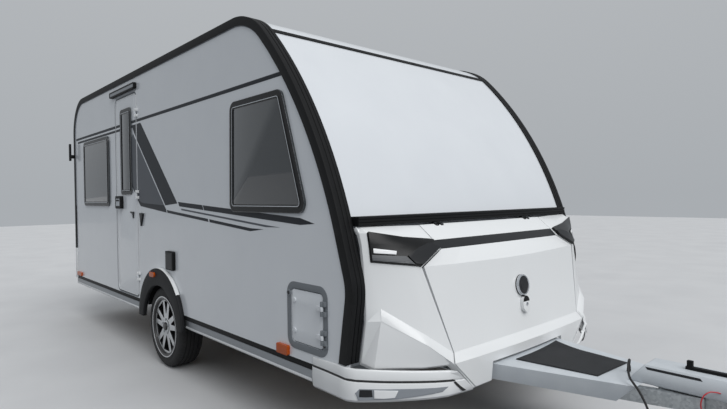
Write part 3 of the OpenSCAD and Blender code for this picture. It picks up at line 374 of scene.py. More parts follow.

# Grip band across the lid and its hinge arms: the same sheet, painted satin charcoal. The
# painted faces are picked by where they lie on the lid.
# The same charcoal also serves as painted shade: black plates in the bumpers' holes, the tube cover's air slots
# and the lock barrel's keyway.
charcoal_and_shade, tree, skin, place = new_finish("satin_charcoal_paint_and_painted_shade", "#1b1d20", 0.42, Specular_IOR_Level=0.3)
peel = add(tree, "ShaderNodeTexNoise", [("Vector", place), ("Scale", 1 / 0.004), ("Detail", 2.0)])
add(tree, "ShaderNodeBump", [("Height", peel.outputs["Fac"]), ("Strength", 0.15), ("Distance", 0.0004)],
    skin["Normal"])
BAND_LOW, BAND_HIGH, BAND_X = 1.100, 1.153, 2.462
LUG_Y, LUG_REACH, LUG_LOW = 0.470, 0.045, 1.203
lid = solids["locker_lid"].data
lid.materials.append(charcoal_and_shade)
for face in lid.polygons:
    spots = [lid.vertices[v].co for v in face.vertices]
    in_band = all(BAND_LOW < q.z < BAND_HIGH and q.x - AXLE > BAND_X for q in spots) and face.normal.x > 0.2
    on_lug = all(abs(abs(q.y) - LUG_Y) < LUG_REACH and q.z > LUG_LOW for q in spots)
    face.material_index = 1 if in_band or on_lug else 0

# Crease of the locker corners: a raised ridge that runs down from the trim and in to the lid,
# moulded in one with the corner. Each station gives its upper and its lower edge.
RIDGE = [
    ((2450, 1012, 830), (2462, 1022, 771)),
    ((2585, 830, 690), (2612, 846, 645)),
    ((2638, 679, 582), (2667, 710, 537)),
]
RIDGE_OUT, RIDGE_STEPS, RIDGE_END = 2.2, 10, 0.95
for side, mark in SIDES:
    loops = []
    for k in range(len(RIDGE) - 1):
        (a, b), (c, d) = RIDGE[k], RIDGE[k + 1]
        last = k == len(RIDGE) - 2
        for i in range(RIDGE_STEPS + (1 if last else 0)):
            t = i / RIDGE_STEPS * (RIDGE_END if last else 1.0)
            top, low = Vector(a).lerp(Vector(c), t), Vector(b).lerp(Vector(d), t)
            out = (Vector(c) - Vector(a)).cross(low - top).normalized()
            out = out * (RIDGE_OUT if out.x > 0 else -RIDGE_OUT)
            crest = [top.lerp(low, 0.12) + out, top.lerp(low, 0.88) + out]
            loop = [top - out, top + out * 0.4, *crest, low + out * 0.4, low - out]
            loops.append([at(q.x, side * q.y, q.z) for q in loop])
    loft(f"nose_ridge_{mark}", loops, moulding_and_highlight)

# Front bumpers: a soft black strip pressed into the groove between the two halves, and in the
# lower half a pocket: a grey plate of painted shade in its hollow, a black plate of painted shade in its hole
# and a pale block beside it.
hollow_shade_grey, tree, skin, place = new_finish("painted_shade_grey", "#8b9096", 0.5)
grain = add(tree, "ShaderNodeTexNoise", [("Vector", place), ("Scale", 1 / 0.002), ("Detail", 2.0)])
add(tree, "ShaderNodeBump", [("Height", grain.outputs["Fac"]), ("Strength", 0.12), ("Distance", 0.0005)],
    skin["Normal"])
LINE = [
    (2085, -10.5), (2200, -10.5), (2300, -12.5), (2352, -12), (2396, 14), (2440, 60), (2490, 116),
    (2542, 184), (2592, 256), (2636, 330), (2666, 400),
]  # along the bumper: distance ahead of the axle, and in from the wall's face
TOE_X, TOE_LOW, TOE_HIGH = 2694, (380, 579), (537, 748)  # inner end: height and distance from the middle


def bumper_at(t, z, out=0.0, side=-1):
    """A point on a front bumper at a share of its line, a height and a distance out, in millimetres."""
    rise = (z - TOE_LOW[0]) / (TOE_HIGH[0] - TOE_LOW[0])
    line = LINE + [(TOE_X, FACE - (TOE_LOW[1] + (TOE_HIGH[1] - TOE_LOW[1]) * rise))]
    k = min(int(t * (len(line) - 1)), len(line) - 2)
    a, b = Vector(line[k]), Vector(line[k + 1])
    q = a.lerp(b, t * (len(line) - 1) - k)
    d = (b - a).normalized()
    return at(q.x + out * d.y, side * (FACE - q.y + out * d.x), z)


JOINT_Z, JOINT_FALL = 492, 40


def joint_at(t):
    """Height of the joint's lower edge at a share of the bumper's line."""
    return JOINT_Z - JOINT_FALL * t**1.5


JOINT_STEPS = 40
JOINT_TURN, JOINT_END = 0.935, 0.965  # where the strip turns down, and its end, as shares of the line
END_RISE, END_FALL, END_W, END_OUT, END_BULGE = 6, 66, 0.007, 2.0, 6.0
STRIP = [(0.0, -4.0), (12.0, -4.0), (12.0, 1.2), (6.0, 2.4), (0.0, 3.2)]  # height and distance out
# Painted shade: the hollow's grey plate and the hole's black plate stand for the shade in the pocket.
POCKET = [
    ("hollow", hollow_shade_grey, 7.6,
     [(0.36, 430), (0.39, 451), (0.62, 446), (0.90, 436), (0.86, 414), (0.62, 397), (0.38, 395)]),
    ("hole", charcoal_and_shade, 8.6,
     [(0.39, 446), (0.43, 446), (0.473, 445), (0.477, 411), (0.43, 410), (0.386, 411)]),
    ("block", moulding_and_highlight, 12.0,
     [(0.486, 444), (0.545, 442), (0.618, 438), (0.60, 405), (0.545, 403), (0.486, 405)]),
]
for side, mark in SIDES:
    loops = []
    for k in range(JOINT_STEPS + 1):
        t = JOINT_TURN * k / JOINT_STEPS
        loops.append([bumper_at(t, joint_at(t) + z, out, side) for z, out in STRIP])
    loft(f"bumper_joint_{mark}", loops, sheath)
    loops = []
    for k in range(JOINT_STEPS // 2 + 1):
        u = k / (JOINT_STEPS // 2)
        t = JOINT_TURN + (JOINT_END - JOINT_TURN) * u
        z = joint_at(JOINT_TURN) + END_RISE - END_FALL * u
        out = END_OUT + END_BULGE * math.sin(math.pi * min(u * 1.1, 1.0) / 2)
        section = ((-END_W, -4), (END_W, -4), (END_W, out), (-END_W, out))
        loops.append([bumper_at(t + w, z, d, side) for w, d in section])
    loft(f"bumper_joint_end_{mark}", loops, sheath)
    for name, finish, out, shape in POCKET:
        count = len(shape)
        ring = []
        for a, b in zip(shape, shape[1:] + shape[:1]):
            ring += [(a[0] + (b[0] - a[0]) * h / 4, a[1] + (b[1] - a[1]) * h / 4) for h in range(4)]
        middle = (sum(t for t, z in shape) / count, sum(z for t, z in shape) / count)
        loops = [[bumper_at(t, z, 1.0, side) for t, z in ring]]
        for share in (0.0, 0.2, 0.4, 0.6, 0.8, 0.97):
            inner = [(t + (middle[0] - t) * share, z + (middle[1] - z) * share) for t, z in ring]
            loops.append([bumper_at(t, z, out, side) for t, z in inner])
        loft(f"bumper_{name}_{mark}", loops, finish, edge=0.0006)

# Drawbar and tube covers: light grey moulded plastic, satin, weathered in blotches. Air slots
# along both flanks of the tube cover are dark plates pressed into the sloped face, painted shade for the
# openings.
cover_grey, tree, skin, place = new_finish("moulded_plastic_light_grey", "#c4c9ce", 0.5)
stain = add(tree, "ShaderNodeTexNoise", [("Vector", place), ("Scale", 9.0), ("Detail", 6.0)])
tone = add(tree, "ShaderNodeValToRGB", [("Fac", stain.outputs["Fac"])], skin["Base Color"])
tint(tone, "#b7bdc3", "#ccd1d5")
dress(cover_grey, "drawbar_cover", "nose_cover", edge=0.004)
SLOT = [(3345, 0.22), (3580, 0.22), (3592, 0.46), (3357, 0.46)]  # along the cover, and share down its flank
flank_top, flank_run, flank_out = (Vector(v) for v in ((74, 548), (26, -43), (0.86, 0.51)))  # across and up
# Painted shade: a dark plate in each air slot stands for the shade inside it.
for side, mark in SIDES:
    loops = []
    for depth in (-0.8, 0.9):
        spots = [(x, flank_top + flank_run * share + flank_out * depth) for x, share in SLOT]
        loops.append([at(x, side * q.x, q.y) for x, q in spots])
    loft(f"cover_slot_{mark}", loops, charcoal_and_shade)


# Trims: extruded black plastic round the edges, strips, sill inserts, frames and handles.
# Clipped or screwed on; dust lightens the black in patches.
trim_black, tree, skin, place = new_finish("extruded_plastic_black", "#0c0d0f", 0.55, Specular_IOR_Level=0.2)
dust = add(tree, "ShaderNodeTexNoise", [("Vector", place), ("Scale", 14.0), ("Detail", 5.0)])
tone = add(tree, "ShaderNodeValToRGB", [("Fac", dust.outputs["Fac"])], skin["Base Color"])
tint(tone, "#090a0b", "#131416")
dress(trim_black, "edge_trims", "front_strips", "sill_inserts", "window_frames", "socket_box",
      "end_markers", "door_handle", "locker_lock", "handbrake_lever", edge=0.002)

# Lid lock: a black cap in a bright turned ring, over a white oval pull with its lock barrel.
# All of it is fixed through the lid's flat field and rides on the lid.
# The same bright metal also stands as painted highlight along the panes' ribs.
bright, tree, skin, place = new_finish("turned_bright_metal_and_painted_highlight", "#c9ccd0", 0.22, Metallic=1.0)
scratch = add(tree, "ShaderNodeTexNoise", [("Vector", place), ("Scale", 500.0), ("Detail", 4.0)])
add(tree, "ShaderNodeMapRange", [("Value", scratch.outputs["Fac"]), ("To Min", 0.16), ("To Max", 0.34)],
    skin["Roughness"])
LOCK_Z, PULL_Z, PULL_TOP = 847, 735, 0.782
LID_X, LID_Z, LID_RUN, LID_DROP = 2600, 1020, 55, 435  # the field's upper edge, its way forward and down
LOCK_RING = [
    (0.0630, 0.006), (0.0630, 0.0135), (0.0600, 0.0185), (0.0535, 0.0185), (0.0515, 0.0150), (0.0515, 0.006),
]
LOCK_CAP = [
    (0.0515, 0.012), (0.0515, 0.0162), (0.0490, 0.0172), (0.0300, 0.0166), (0.0285, 0.0176), (0.0, 0.0182),
]
BARREL = [(0.0105, 0.018), (0.0105, 0.0272), (0.0085, 0.0282), (0.0, 0.0284)]
KEYWAY = [(-0.0012, -0.006), (0.0012, -0.006), (0.0012, 0.006), (-0.0012, 0.006)]


def on_lid(z):
    """A point on the middle of the lid's field, by its height in millimetres."""
    return at(LID_X + LID_RUN * (LID_Z - z) / LID_DROP, 0, z)


lid_lean = math.atan2(LID_RUN, LID_DROP)
lid_out = Vector((math.cos(lid_lean), 0, math.sin(lid_lean)))
lock = solids["locker_lock"].data
lock.materials.append(moulding_and_highlight)
for face in lock.polygons:
    face.material_index = 1 if all(lock.vertices[v].co.z < PULL_TOP for v in face.vertices) else 0
turned("lock_ring", LOCK_RING, on_lid(LOCK_Z), lid_out, bright, "gas_lid", steps=72, ring=True)
turned("lock_cap", LOCK_CAP, on_lid(LOCK_Z), lid_out, charcoal_and_shade, "gas_lid", steps=72)
turned("pull_barrel", BARREL, on_lid(PULL_Z), lid_out, bright, "gas_lid")
# The keyway is a black bar across the barrel's top, painted shade for the slot.
loops = [[on_lid(PULL_Z) + lid_out * h + Vector((0, y, z)) for y, z in KEYWAY] for h in (0.0291, 0.0270)]
loft("pull_slot", loops, charcoal_and_shade, "gas_lid")


# Arches and wheel boxes: grained dark grey polypropylene, screwed to the walls round the wheel
# openings. A white strip over the upper part of each arch's outer side is a painted highlight.
arch_grey, tree, skin, place = new_finish("grained_polypropylene_grey", "#1b1c1e", 0.6, Specular_IOR_Level=0.25)
grain = add(tree, "ShaderNodeTexVoronoi", [("Vector", place), ("Scale", 1 / 0.003)])
add(tree, "ShaderNodeBump", [("Height", grain.outputs["Distance"]), ("Strength", 0.3), ("Distance", 0.0006)],
    skin["Normal"])
dress(arch_grey, "wheel_boxes", edge=0.004)
dress(arch_grey, "wheel_arches", edge=0.010)
HUB_Z, OPENING_R = 0.332, 0.50


def near_hub(spot, reach):
    """Whether a point lies within a distance of the wheels' axis."""
    return math.hypot(spot.x - AXLE, spot.z - HUB_Z) < reach


for name in ("wall_right", "wall_left"):
    wall = solids[name].data
    wall.materials.append(arch_grey)
    for face in wall.polygons:
        near = all(near_hub(wall.vertices[v].co, OPENING_R) for v in face.vertices)
        face.material_index = 1 if near and abs(face.normal.y) < 0.3 else 0

ARCH_R, ARCH_Z = 455, 365
HIGHLIGHT_FROM, HIGHLIGHT_TO, HIGHLIGHT_STEPS = 38, 142, 52  # degrees from the front
HIGHLIGHT_SECTION = [(-1.0, 3.0), (1.6, 4.0), (1.6, 27.0), (-1.2, 32.5), (-4.0, 30.0)]  # past the arch's edge, and out
# Painted highlight: a white strip on the arch's outer side, standing for the light along its edge.
for side, mark in SIDES:
    loops = []
    for k in range(HIGHLIGHT_STEPS + 1):
        turn = math.radians(HIGHLIGHT_FROM + (HIGHLIGHT_TO - HIGHLIGHT_FROM) * k / HIGHLIGHT_STEPS)
        way = Vector((math.cos(turn), math.sin(turn)))
        spots = [(way * (ARCH_R + r), out) for r, out in HIGHLIGHT_SECTION]
        loops.append([at(q.x, side * (FACE + out), ARCH_Z + q.y) for q, out in spots])
    loft(f"arch_painted_highlight_{mark}", loops, moulding_and_highlight)

# Door and flap frames: grey moulded plastic with a fine grain, screwed into the openings.
# The fixed halves of the door's hinges are white.
frame_grey, tree, skin, place = new_finish("moulded_plastic_grey", "#757a7f", 0.55)
grain = add(tree, "ShaderNodeTexNoise", [("Vector", place), ("Scale", 1 / 0.002), ("Detail", 2.0)])
add(tree, "ShaderNodeBump", [("Height", grain.outputs["Fac"]), ("Strength", 0.15), ("Distance", 0.0005)],
    skin["Normal"])
dress(frame_grey, "door_frames", edge=0.002)
LUG_X = (-0.530, -0.480)
frames = solids["door_frames"].data
frames.materials.append(moulding_and_highlight)
for face in frames.polygons:
    spots = [frames.vertices[v].co for v in face.vertices]
    on_lug = all(LUG_X[0] < q.x - AXLE < LUG_X[1] and q.y < 0.0005 - WALL for q in spots)
    face.material_index = 1 if on_lug else 0

# Sill rails: extruded aluminium, anodised, with fine draw lines along the rail, 2 mm apart to
# show. A bright rolled flange runs along each rail's foot.
sill_metal, tree, skin, place = new_finish("anodised_aluminium", "#8f9397", 0.4, Metallic=1.0)
along = add(tree, "ShaderNodeMapping", [("Vector", place), ("Scale", (1.5, 500.0, 500.0))])
draw = add(tree, "ShaderNodeTexNoise", [("Vector", along.outputs["Vector"]), ("Scale", 1.0), ("Detail", 3.0)])
add(tree, "ShaderNodeBump", [("Height", draw.outputs["Fac"]), ("Strength", 0.2), ("Distance", 0.0004)],
    skin["Normal"])
dress(sill_metal, "sill_rails", edge=0.003)
FLANGE = [(0.402, -0.001), (0.420, -0.001), (0.416, 0.003), (0.406, 0.003)]  # height, and out from the rail
END_GAP, FRONT_GAP = 0.004, 0.020
sill_low, sill_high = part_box("sill_rails")
arch_low, arch_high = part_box("wheel_arches")
flange_metal, tree, skin, place = new_finish("rolled_aluminium_bright", "#dadcde", 0.4, Metallic=0.4)
along = add(tree, "ShaderNodeMapping", [("Vector", place), ("Scale", (2.0, 400.0, 400.0))])
draw = add(tree, "ShaderNodeTexNoise", [("Vector", along.outputs["Vector"]), ("Scale", 1.0), ("Detail", 3.0)])
add(tree, "ShaderNodeMapRange", [("Value", draw.outputs["Fac"]), ("To Min", 0.3), ("To Max", 0.5)],
    skin["Roughness"])
for side, mark in SIDES:
    face_y = side * max(abs(sill_low[1]), abs(sill_high[1]))
    rear_run = ("rear", sill_low[0] + END_GAP, arch_low[0] - END_GAP)
    front_run = ("front", arch_high[0] + END_GAP, sill_high[0] - FRONT_GAP)
    for part, x0, x1 in (rear_run, front_run):
        loops = [[Vector((x, face_y + side * d, z)) for z, d in FLANGE] for x in (x0, (x0 + x1) / 2, x1)]
        loft(f"sill_flange_{part}_{mark}", loops, flange_metal, edge=0.001)


# Windows: double panes of smoked acrylic, nearly black from outside, hung in black frames.
# Shallow waves about 250 mm across bend what they mirror.
smoked, tree, skin, place = new_finish("smoked_acrylic", "#3d4246", 0.05, IOR=1.49,
                                       Transmission_Weight=0.3, Coat_Weight=0.6)
wave = add(tree, "ShaderNodeTexNoise", [("Vector", place), ("Scale", 1 / 0.25), ("Detail", 1.0)])
add(tree, "ShaderNodeBump", [("Height", wave.outputs["Fac"]), ("Strength", 0.1), ("Distance", 0.006)],
    skin["Normal"])
dress(smoked, "window_panes", "door_window", edge=0.004)

# Pane edges: a black print under the acrylic, a moulded rib and a fine bright line along it,
# which is a painted highlight on the rib. Each is a ring that follows the pane's outline.
print_black, tree, skin, place = new_finish("black_print_on_acrylic", "#08090a", 0.25, Specular_IOR_Level=0.3)
haze = add(tree, "ShaderNodeTexNoise", [("Vector", place), ("Scale", 25.0), ("Detail", 4.0)])
add(tree, "ShaderNodeMapRange", [("Value", haze.outputs["Fac"]), ("To Min", 0.18), ("To Max", 0.3)],
    skin["Roughness"])


def outline(corners, radius, inset=0.0, steps=8):
    """Points round a convex outline with rounded corners, moved in by an inset, in millimetres."""
    spots = [Vector(c) for c in corners]
    made = []
    for i, here in enumerate(spots):
        u = (spots[i - 1] - here).normalized()
        v = (spots[(i + 1) % len(spots)] - here).normalized()
        mid = (u + v).normalized()
        bend = max(radius - inset, 3.0)
        centre = here + mid * ((inset + bend) / math.sin(u.angle(v) / 2))
        a, b = ((w * mid.dot(w) - mid).normalized() for w in (u, v))
        made += [centre + a.slerp(b, k / steps) * bend for k in range(steps + 1)]
    return made


def box_corners(x0, x1, z0, z1):
    """Corners of an upright rectangle on a wall."""
    return [(x0, z0), (x1, z0), (x1, z1), (x0, z1)]


def wall_ring(name, corners, radius, steps, finish, side=-1, body="body"):
    """A ring on a side wall: steps are inset and distance out from the wall's face, in millimetres."""
    loops = []
    for inset, out in steps:
        loops.append([at(q.x, side * (FACE + out), q.y) for q in outline(corners, radius, inset)])
    return loft(name, loops, finish, body, ring=True)


FRONT_PANE = [(1200, 1300), (2049, 1300), (1815, 2005), (1220, 2005)]
REAR_PANE = box_corners(-2200, -1300, 1320, 2030)
MIDDLE_PANE = box_corners(-420, 480, 1320, 2030)
DOOR_PANE = box_corners(-955, -655, 1430, 2235)
PANE_R, DOOR_PANE_R = 60, 45
PANE_OUT, DOOR_PANE_OUT = 14.0, 8.0


def pane_edge(name, corners, radius, out, side=-1, body="body"):
    """The printed edge and rib of one pane, with a fine bright line on the rib that is a painted highlight."""
    top, low = out + 4.5, out + 0.4
    rib = [(3, out - 2), (3, low), (30, low), (34, top), (45, top), (49, low), (49, out - 2)]
    wall_ring(f"pane_edge_{name}", corners, radius, rib, print_black, side, body)
    fine = [(37, out + 3), (37, out + 5.2), (41, out + 5.2), (41, out + 3)]
    # The fine line is painted highlight: a bright metal ring where light catches the rib.
    wall_ring(f"pane_highlight_line_{name}", corners, radius, fine, bright, side, body)


for side, mark in SIDES:
    pane_edge(f"front_{mark}", FRONT_PANE, PANE_R, PANE_OUT, side)
    pane_edge(f"rear_{mark}", REAR_PANE, PANE_R, PANE_OUT, side)
pane_edge("middle_left", MIDDLE_PANE, PANE_R, PANE_OUT, 1)
pane_edge("door", DOOR_PANE, DOOR_PANE_R, DOOR_PANE_OUT, -1, "door")

# Rooflights: clear acrylic domes, hinged on the roof. Weather has left them hazy in patches,
# which shows in how sharply they mirror.
clear_dome, tree, skin, place = new_finish("clear_acrylic", "#dfe5ea", 0.08, IOR=1.49, Transmission_Weight=0.6)
haze = add(tree, "ShaderNodeTexNoise", [("Vector", place), ("Scale", 20.0), ("Detail", 4.0)])
add(tree, "ShaderNodeMapRange", [("Value", haze.outputs["Fac"]), ("To Min", 0.05), ("To Max", 0.2)],
    skin["Roughness"])
dress(clear_dome, "rooflights", edge=0.012)


# Lamps: moulded acrylic lenses, ribbed inside, set into the nose, the walls and the rear. Each
# front lamp has a white light bar, a grey lip under it and a matt wedge beside the lid.
WAVE = 0.314  # scale of a wave texture with one rib in each metre


def lens_finish(name, code, roughness, rib):
    """A lens with ribs a distance apart, in metres."""
    made, tree, skin, place = new_finish(name, code, roughness, IOR=1.49, Specular_IOR_Level=0.3)
    ribs = add(tree, "ShaderNodeTexWave", [("Vector", place), ("Scale", WAVE / rib)], bands_direction="Z")
    add(tree, "ShaderNodeBump", [("Height", ribs.outputs["Fac"]), ("Strength", 0.25), ("Distance", 0.001)],
        skin["Normal"])
    return made


dress(lens_finish("acrylic_lens_black", "#0c0d0f", 0.28, 0.2), "front_lamps", edge=0.003)
LENS_SEAM = [(2485.5, 643, 1158), (2531.5, 640, 1113), (2556.5, 812, 1036)]
LENS_CHEEK = [(2452.5, 850, 1181), (2492.5, 840, 1137), (2518.5, 900, 1049)]
LENS_OUTER = [(2406.5, 1051, 1217), (2417.5, 1051, 1159), (2428.5, 1050, 1069)]


def lens_at(across, down, side, out):
    """A point on a front lens: across 0 to 2 from seam to trim, down 0 to 2, and out in millimetres."""
    cols = [LENS_SEAM, LENS_CHEEK, LENS_OUTER]
    c, r = min(int(across), 1), min(int(down), 1)
    q = [Vector(cols[c + i][r + j]) for i in (0, 1) for j in (0, 1)]
    u, v = across - c, down - r
    spot = q[0].lerp(q[2], u).lerp(q[1].lerp(q[3], u), v)
    face = (q[2] - q[0]).cross(q[1] - q[0]).normalized()
    spot += face * (out if face.x > 0 else -out)
    return at(spot.x, side * spot.y, spot.z)


reflector = lens_finish("acrylic_reflector_grey", "#57595c", 0.35, 0.01)
bar_white = lens_finish("acrylic_diffuser_white", "#f4f5f6", 0.2, 0.01)
LAMP_PARTS = [
    ("bar", bar_white, 4.0, [(1.93, 1.30), (1.6, 1.33), (1.32, 1.36), (1.32, 1.55), (1.6, 1.56), (1.93, 1.56)]),
    ("lip", reflector, 3.0,
     [(1.98, 1.66), (1.5, 1.63), (1.04, 1.60), (0.9, 1.72), (0.5, 1.97), (1.0, 1.97), (1.5, 1.97),
      (1.98, 1.97)]),
    ("wedge", charcoal_and_shade, 6.0,
     [(0.99, 1.56), (0.72, 1.1), (0.35, 0.62), (0.05, 0.5), (0.03, 1.0), (0.03, 1.5), (0.04, 1.95),
      (0.46, 1.95), (0.85, 1.72)]),
]
for side, mark in SIDES:
    for name, finish, out, shape in LAMP_PARTS:
        loops = [[lens_at(a, d, side, depth) for a, d in shape] for depth in (out, 0.5)]
        loft(f"lamp_{name}_{mark}", loops, finish, edge=0.0008)

dress(lens_finish("acrylic_lens_red", "#8e1216", 0.12, 0.006), "rear_lamps", edge=0.006)
dress(lens_finish("acrylic_lens_amber", "#b8500f", 0.15, 0.006), "side_markers", edge=0.004)
dress(lens_finish("acrylic_lens_grey", "#8b9095", 0.2, 0.006), "awning_lamp", edge=0.004)


# Wheels: rubber tyres on alloy rims. Each tyre is turned from its section, with two grooves
# on each half of the tread and cuts across the shoulders.
tyre_rubber, tree, skin, place = new_finish("moulded_tyre_rubber", "#1d1d1e", 0.75)
scuff = add(tree, "ShaderNodeTexNoise", [("Vector", place), ("Scale", 30.0), ("Detail", 6.0)])
tone = add(tree, "ShaderNodeValToRGB", [("Fac", scuff.outputs["Fac"])], skin["Base Color"])
tint(tone, "#171718", "#29292a")
# Half the section from the outer face to the middle of the tread: radius and depth. The rest mirrors it.
TYRE_W = 0.205
HALF = [
    (0.2290, 0.0165), (0.2400, 0.0075), (0.2520, 0.0045), (0.2620, 0.0032), (0.2625, 0.0016), (0.2700, 0.0013),
    (0.2705, 0.0026), (0.2900, 0.0012), (0.3020, 0.0030), (0.3120, 0.0075), (0.3215, 0.0150), (0.3280, 0.0250),
    (0.3312, 0.0360), (0.3316, 0.0500), (0.3250, 0.0515), (0.3250, 0.0575), (0.3317, 0.0590), (0.3320, 0.0830),
    (0.3252, 0.0845), (0.3252, 0.0905), (0.3320, 0.0920), (0.3320, 0.1010),
]
SECTION = HALF + [(r, TYRE_W - d) for r, d in reversed(HALF)]
TREAD_R, SHOULDER_W, SIPE = 0.327, 0.0505, 0.0045
SHOULDER = [
    k for k, (r, d) in enumerate(SECTION) if r > TREAD_R and (d < SHOULDER_W or d > TYRE_W - SHOULDER_W)
]
TREAD_STEPS = 216


def sipe(k, i):
    """Depth of the cuts across the shoulders, one every third step, the two sides offset."""
    cut = (i + (0 if k < len(HALF) else 1)) % 3 == 0
    return SIPE if k in SHOULDER and cut else 0.0


for side, mark in SIDES:
    node = f"tyre_{mark}"
    low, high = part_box(node)
    hub = Vector((AXLE, side * max(abs(low[1]), abs(high[1])), (low[2] + high[2]) / 2))
    inward = Vector((0, -side, 0))
    tyre = turned(f"tread_{mark}", SECTION, hub, inward, tyre_rubber, f"wheel_{mark}", TREAD_STEPS, True, sipe)
    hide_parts(node)

# Rims: cast alloy, its front faces machined bright with turning marks about 1 mm apart, the
# pockets and the outer band lacquered black under faint dust.
alloy, tree, skin, place = new_finish("machined_alloy", "#d6d8da", 0.3, Metallic=0.6)
marks = add(tree, "ShaderNodeTexNoise", [("Vector", place), ("Scale", 1 / 0.001), ("Detail", 2.0)])
add(tree, "ShaderNodeMapRange", [("Value", marks.outputs["Fac"]), ("To Min", 0.22), ("To Max", 0.4)],
    skin["Roughness"])
black_lacquer, tree, skin, place = new_finish("black_lacquer", "#141416", 0.35, Coat_Weight=0.4)
dust = add(tree, "ShaderNodeTexNoise", [("Vector", place), ("Scale", 60.0), ("Detail", 5.0)])
add(tree, "ShaderNodeMapRange", [("Value", dust.outputs["Fac"]), ("To Min", 0.25), ("To Max", 0.5)],
    skin["Roughness"])
RIM_FACE_R = 0.224
for name in ("rim_right", "rim_left"):
    solid = solids[name]
    dress(alloy, name, edge=0.0025)
    solid.data.materials.append(black_lacquer)
    for face in solid.data.polygons:
        machined = abs(face.normal.y) > 0.5 and near_hub(face.center, RIM_FACE_R)
        face.material_index = 0 if machined else 1

# Rim lips, hub caps and wheel bolts: a bright rolled lip, a domed black cap and five zinc-plated
# bolts round it, each turned and seated in the rim.
BOLT_COUNT, BOLT_CIRCLE, BOLT_TURN, HUB_DEPTH = 5, 0.056, 0.3, 0.030
RIM_LIP = [(0.2400, 0.0285), (0.2410, 0.0308), (0.2450, 0.0316), (0.2496, 0.0308), (0.2496, 0.0285)]
HUB_CAP = [(0.034, 0.0), (0.034, 0.020), (0.0315, 0.0245), (0.024, 0.0268), (0.012, 0.0280), (0.0, 0.0283)]
BOLT = [(0.0105, 0.0), (0.0105, 0.017), (0.0095, 0.0182), (0.0060, 0.0188), (0.0, 0.0188)]
for side, mark in SIDES:
    out = Vector((0, side, 0))
    low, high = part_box(f"rim_{mark}")
    hub = Vector((AXLE, (low[1] if side < 0 else high[1]), (low[2] + high[2]) / 2)) - out * HUB_DEPTH
    turned(f"rim_lip_{mark}", RIM_LIP, hub, out, alloy, f"wheel_{mark}", 120, ring=True)
    turned(f"hub_cap_{mark}", HUB_CAP, hub, out, black_lacquer, f"wheel_{mark}", 60)
    for k in range(BOLT_COUNT):
        turn = 2 * math.pi * k / BOLT_COUNT + BOLT_TURN
        spot = hub + Vector((math.cos(turn), 0, math.sin(turn))) * BOLT_CIRCLE
        turned(f"wheel_bolt_{mark}_{k}", BOLT, spot, out, zinc, f"wheel_{mark}", 6)


# Stripes: cut vinyl film on both side walls and the door, dark slate and grey, satin. Each is a
# thin plate on the wall's face, cut where the door's edges and its pane interrupt it.
def vinyl(name, code):
    """A satin film with a fine fleck."""
    made, tree, skin, place = new_finish(name, code, 0.45, Specular_IOR_Level=0.2)
    fleck = add(tree, "ShaderNodeTexNoise", [("Vector", place), ("Scale", 600.0), ("Detail", 2.0)])
    add(tree, "ShaderNodeBump", [("Height", fleck.outputs["Fac"]), ("Strength", 0.1), ("Distance", 0.0003)],
        skin["Normal"])
    return made


slate = vinyl("vinyl_film_slate", "#21252b")
ash = vinyl("vinyl_film_grey", "#5a5e64")
FILM, FILM_IN = 0.0008, -0.0002
DOOR_LOW, DOOR_HIGH = -1.098, -0.527  # edges of the door leaf
REAR_EDGE, FRONT_EDGE = -1.108, -0.517  # edges of the walls beside it
PANE_LOW, PANE_HIGH = -0.958, -0.652  # edges of the door's pane


def slant(x):
    """Height of the white line between wedge and field."""
    return 1.984 - (x + 0.605) * (1.984 - 1.341) / (0.084 + 0.605)


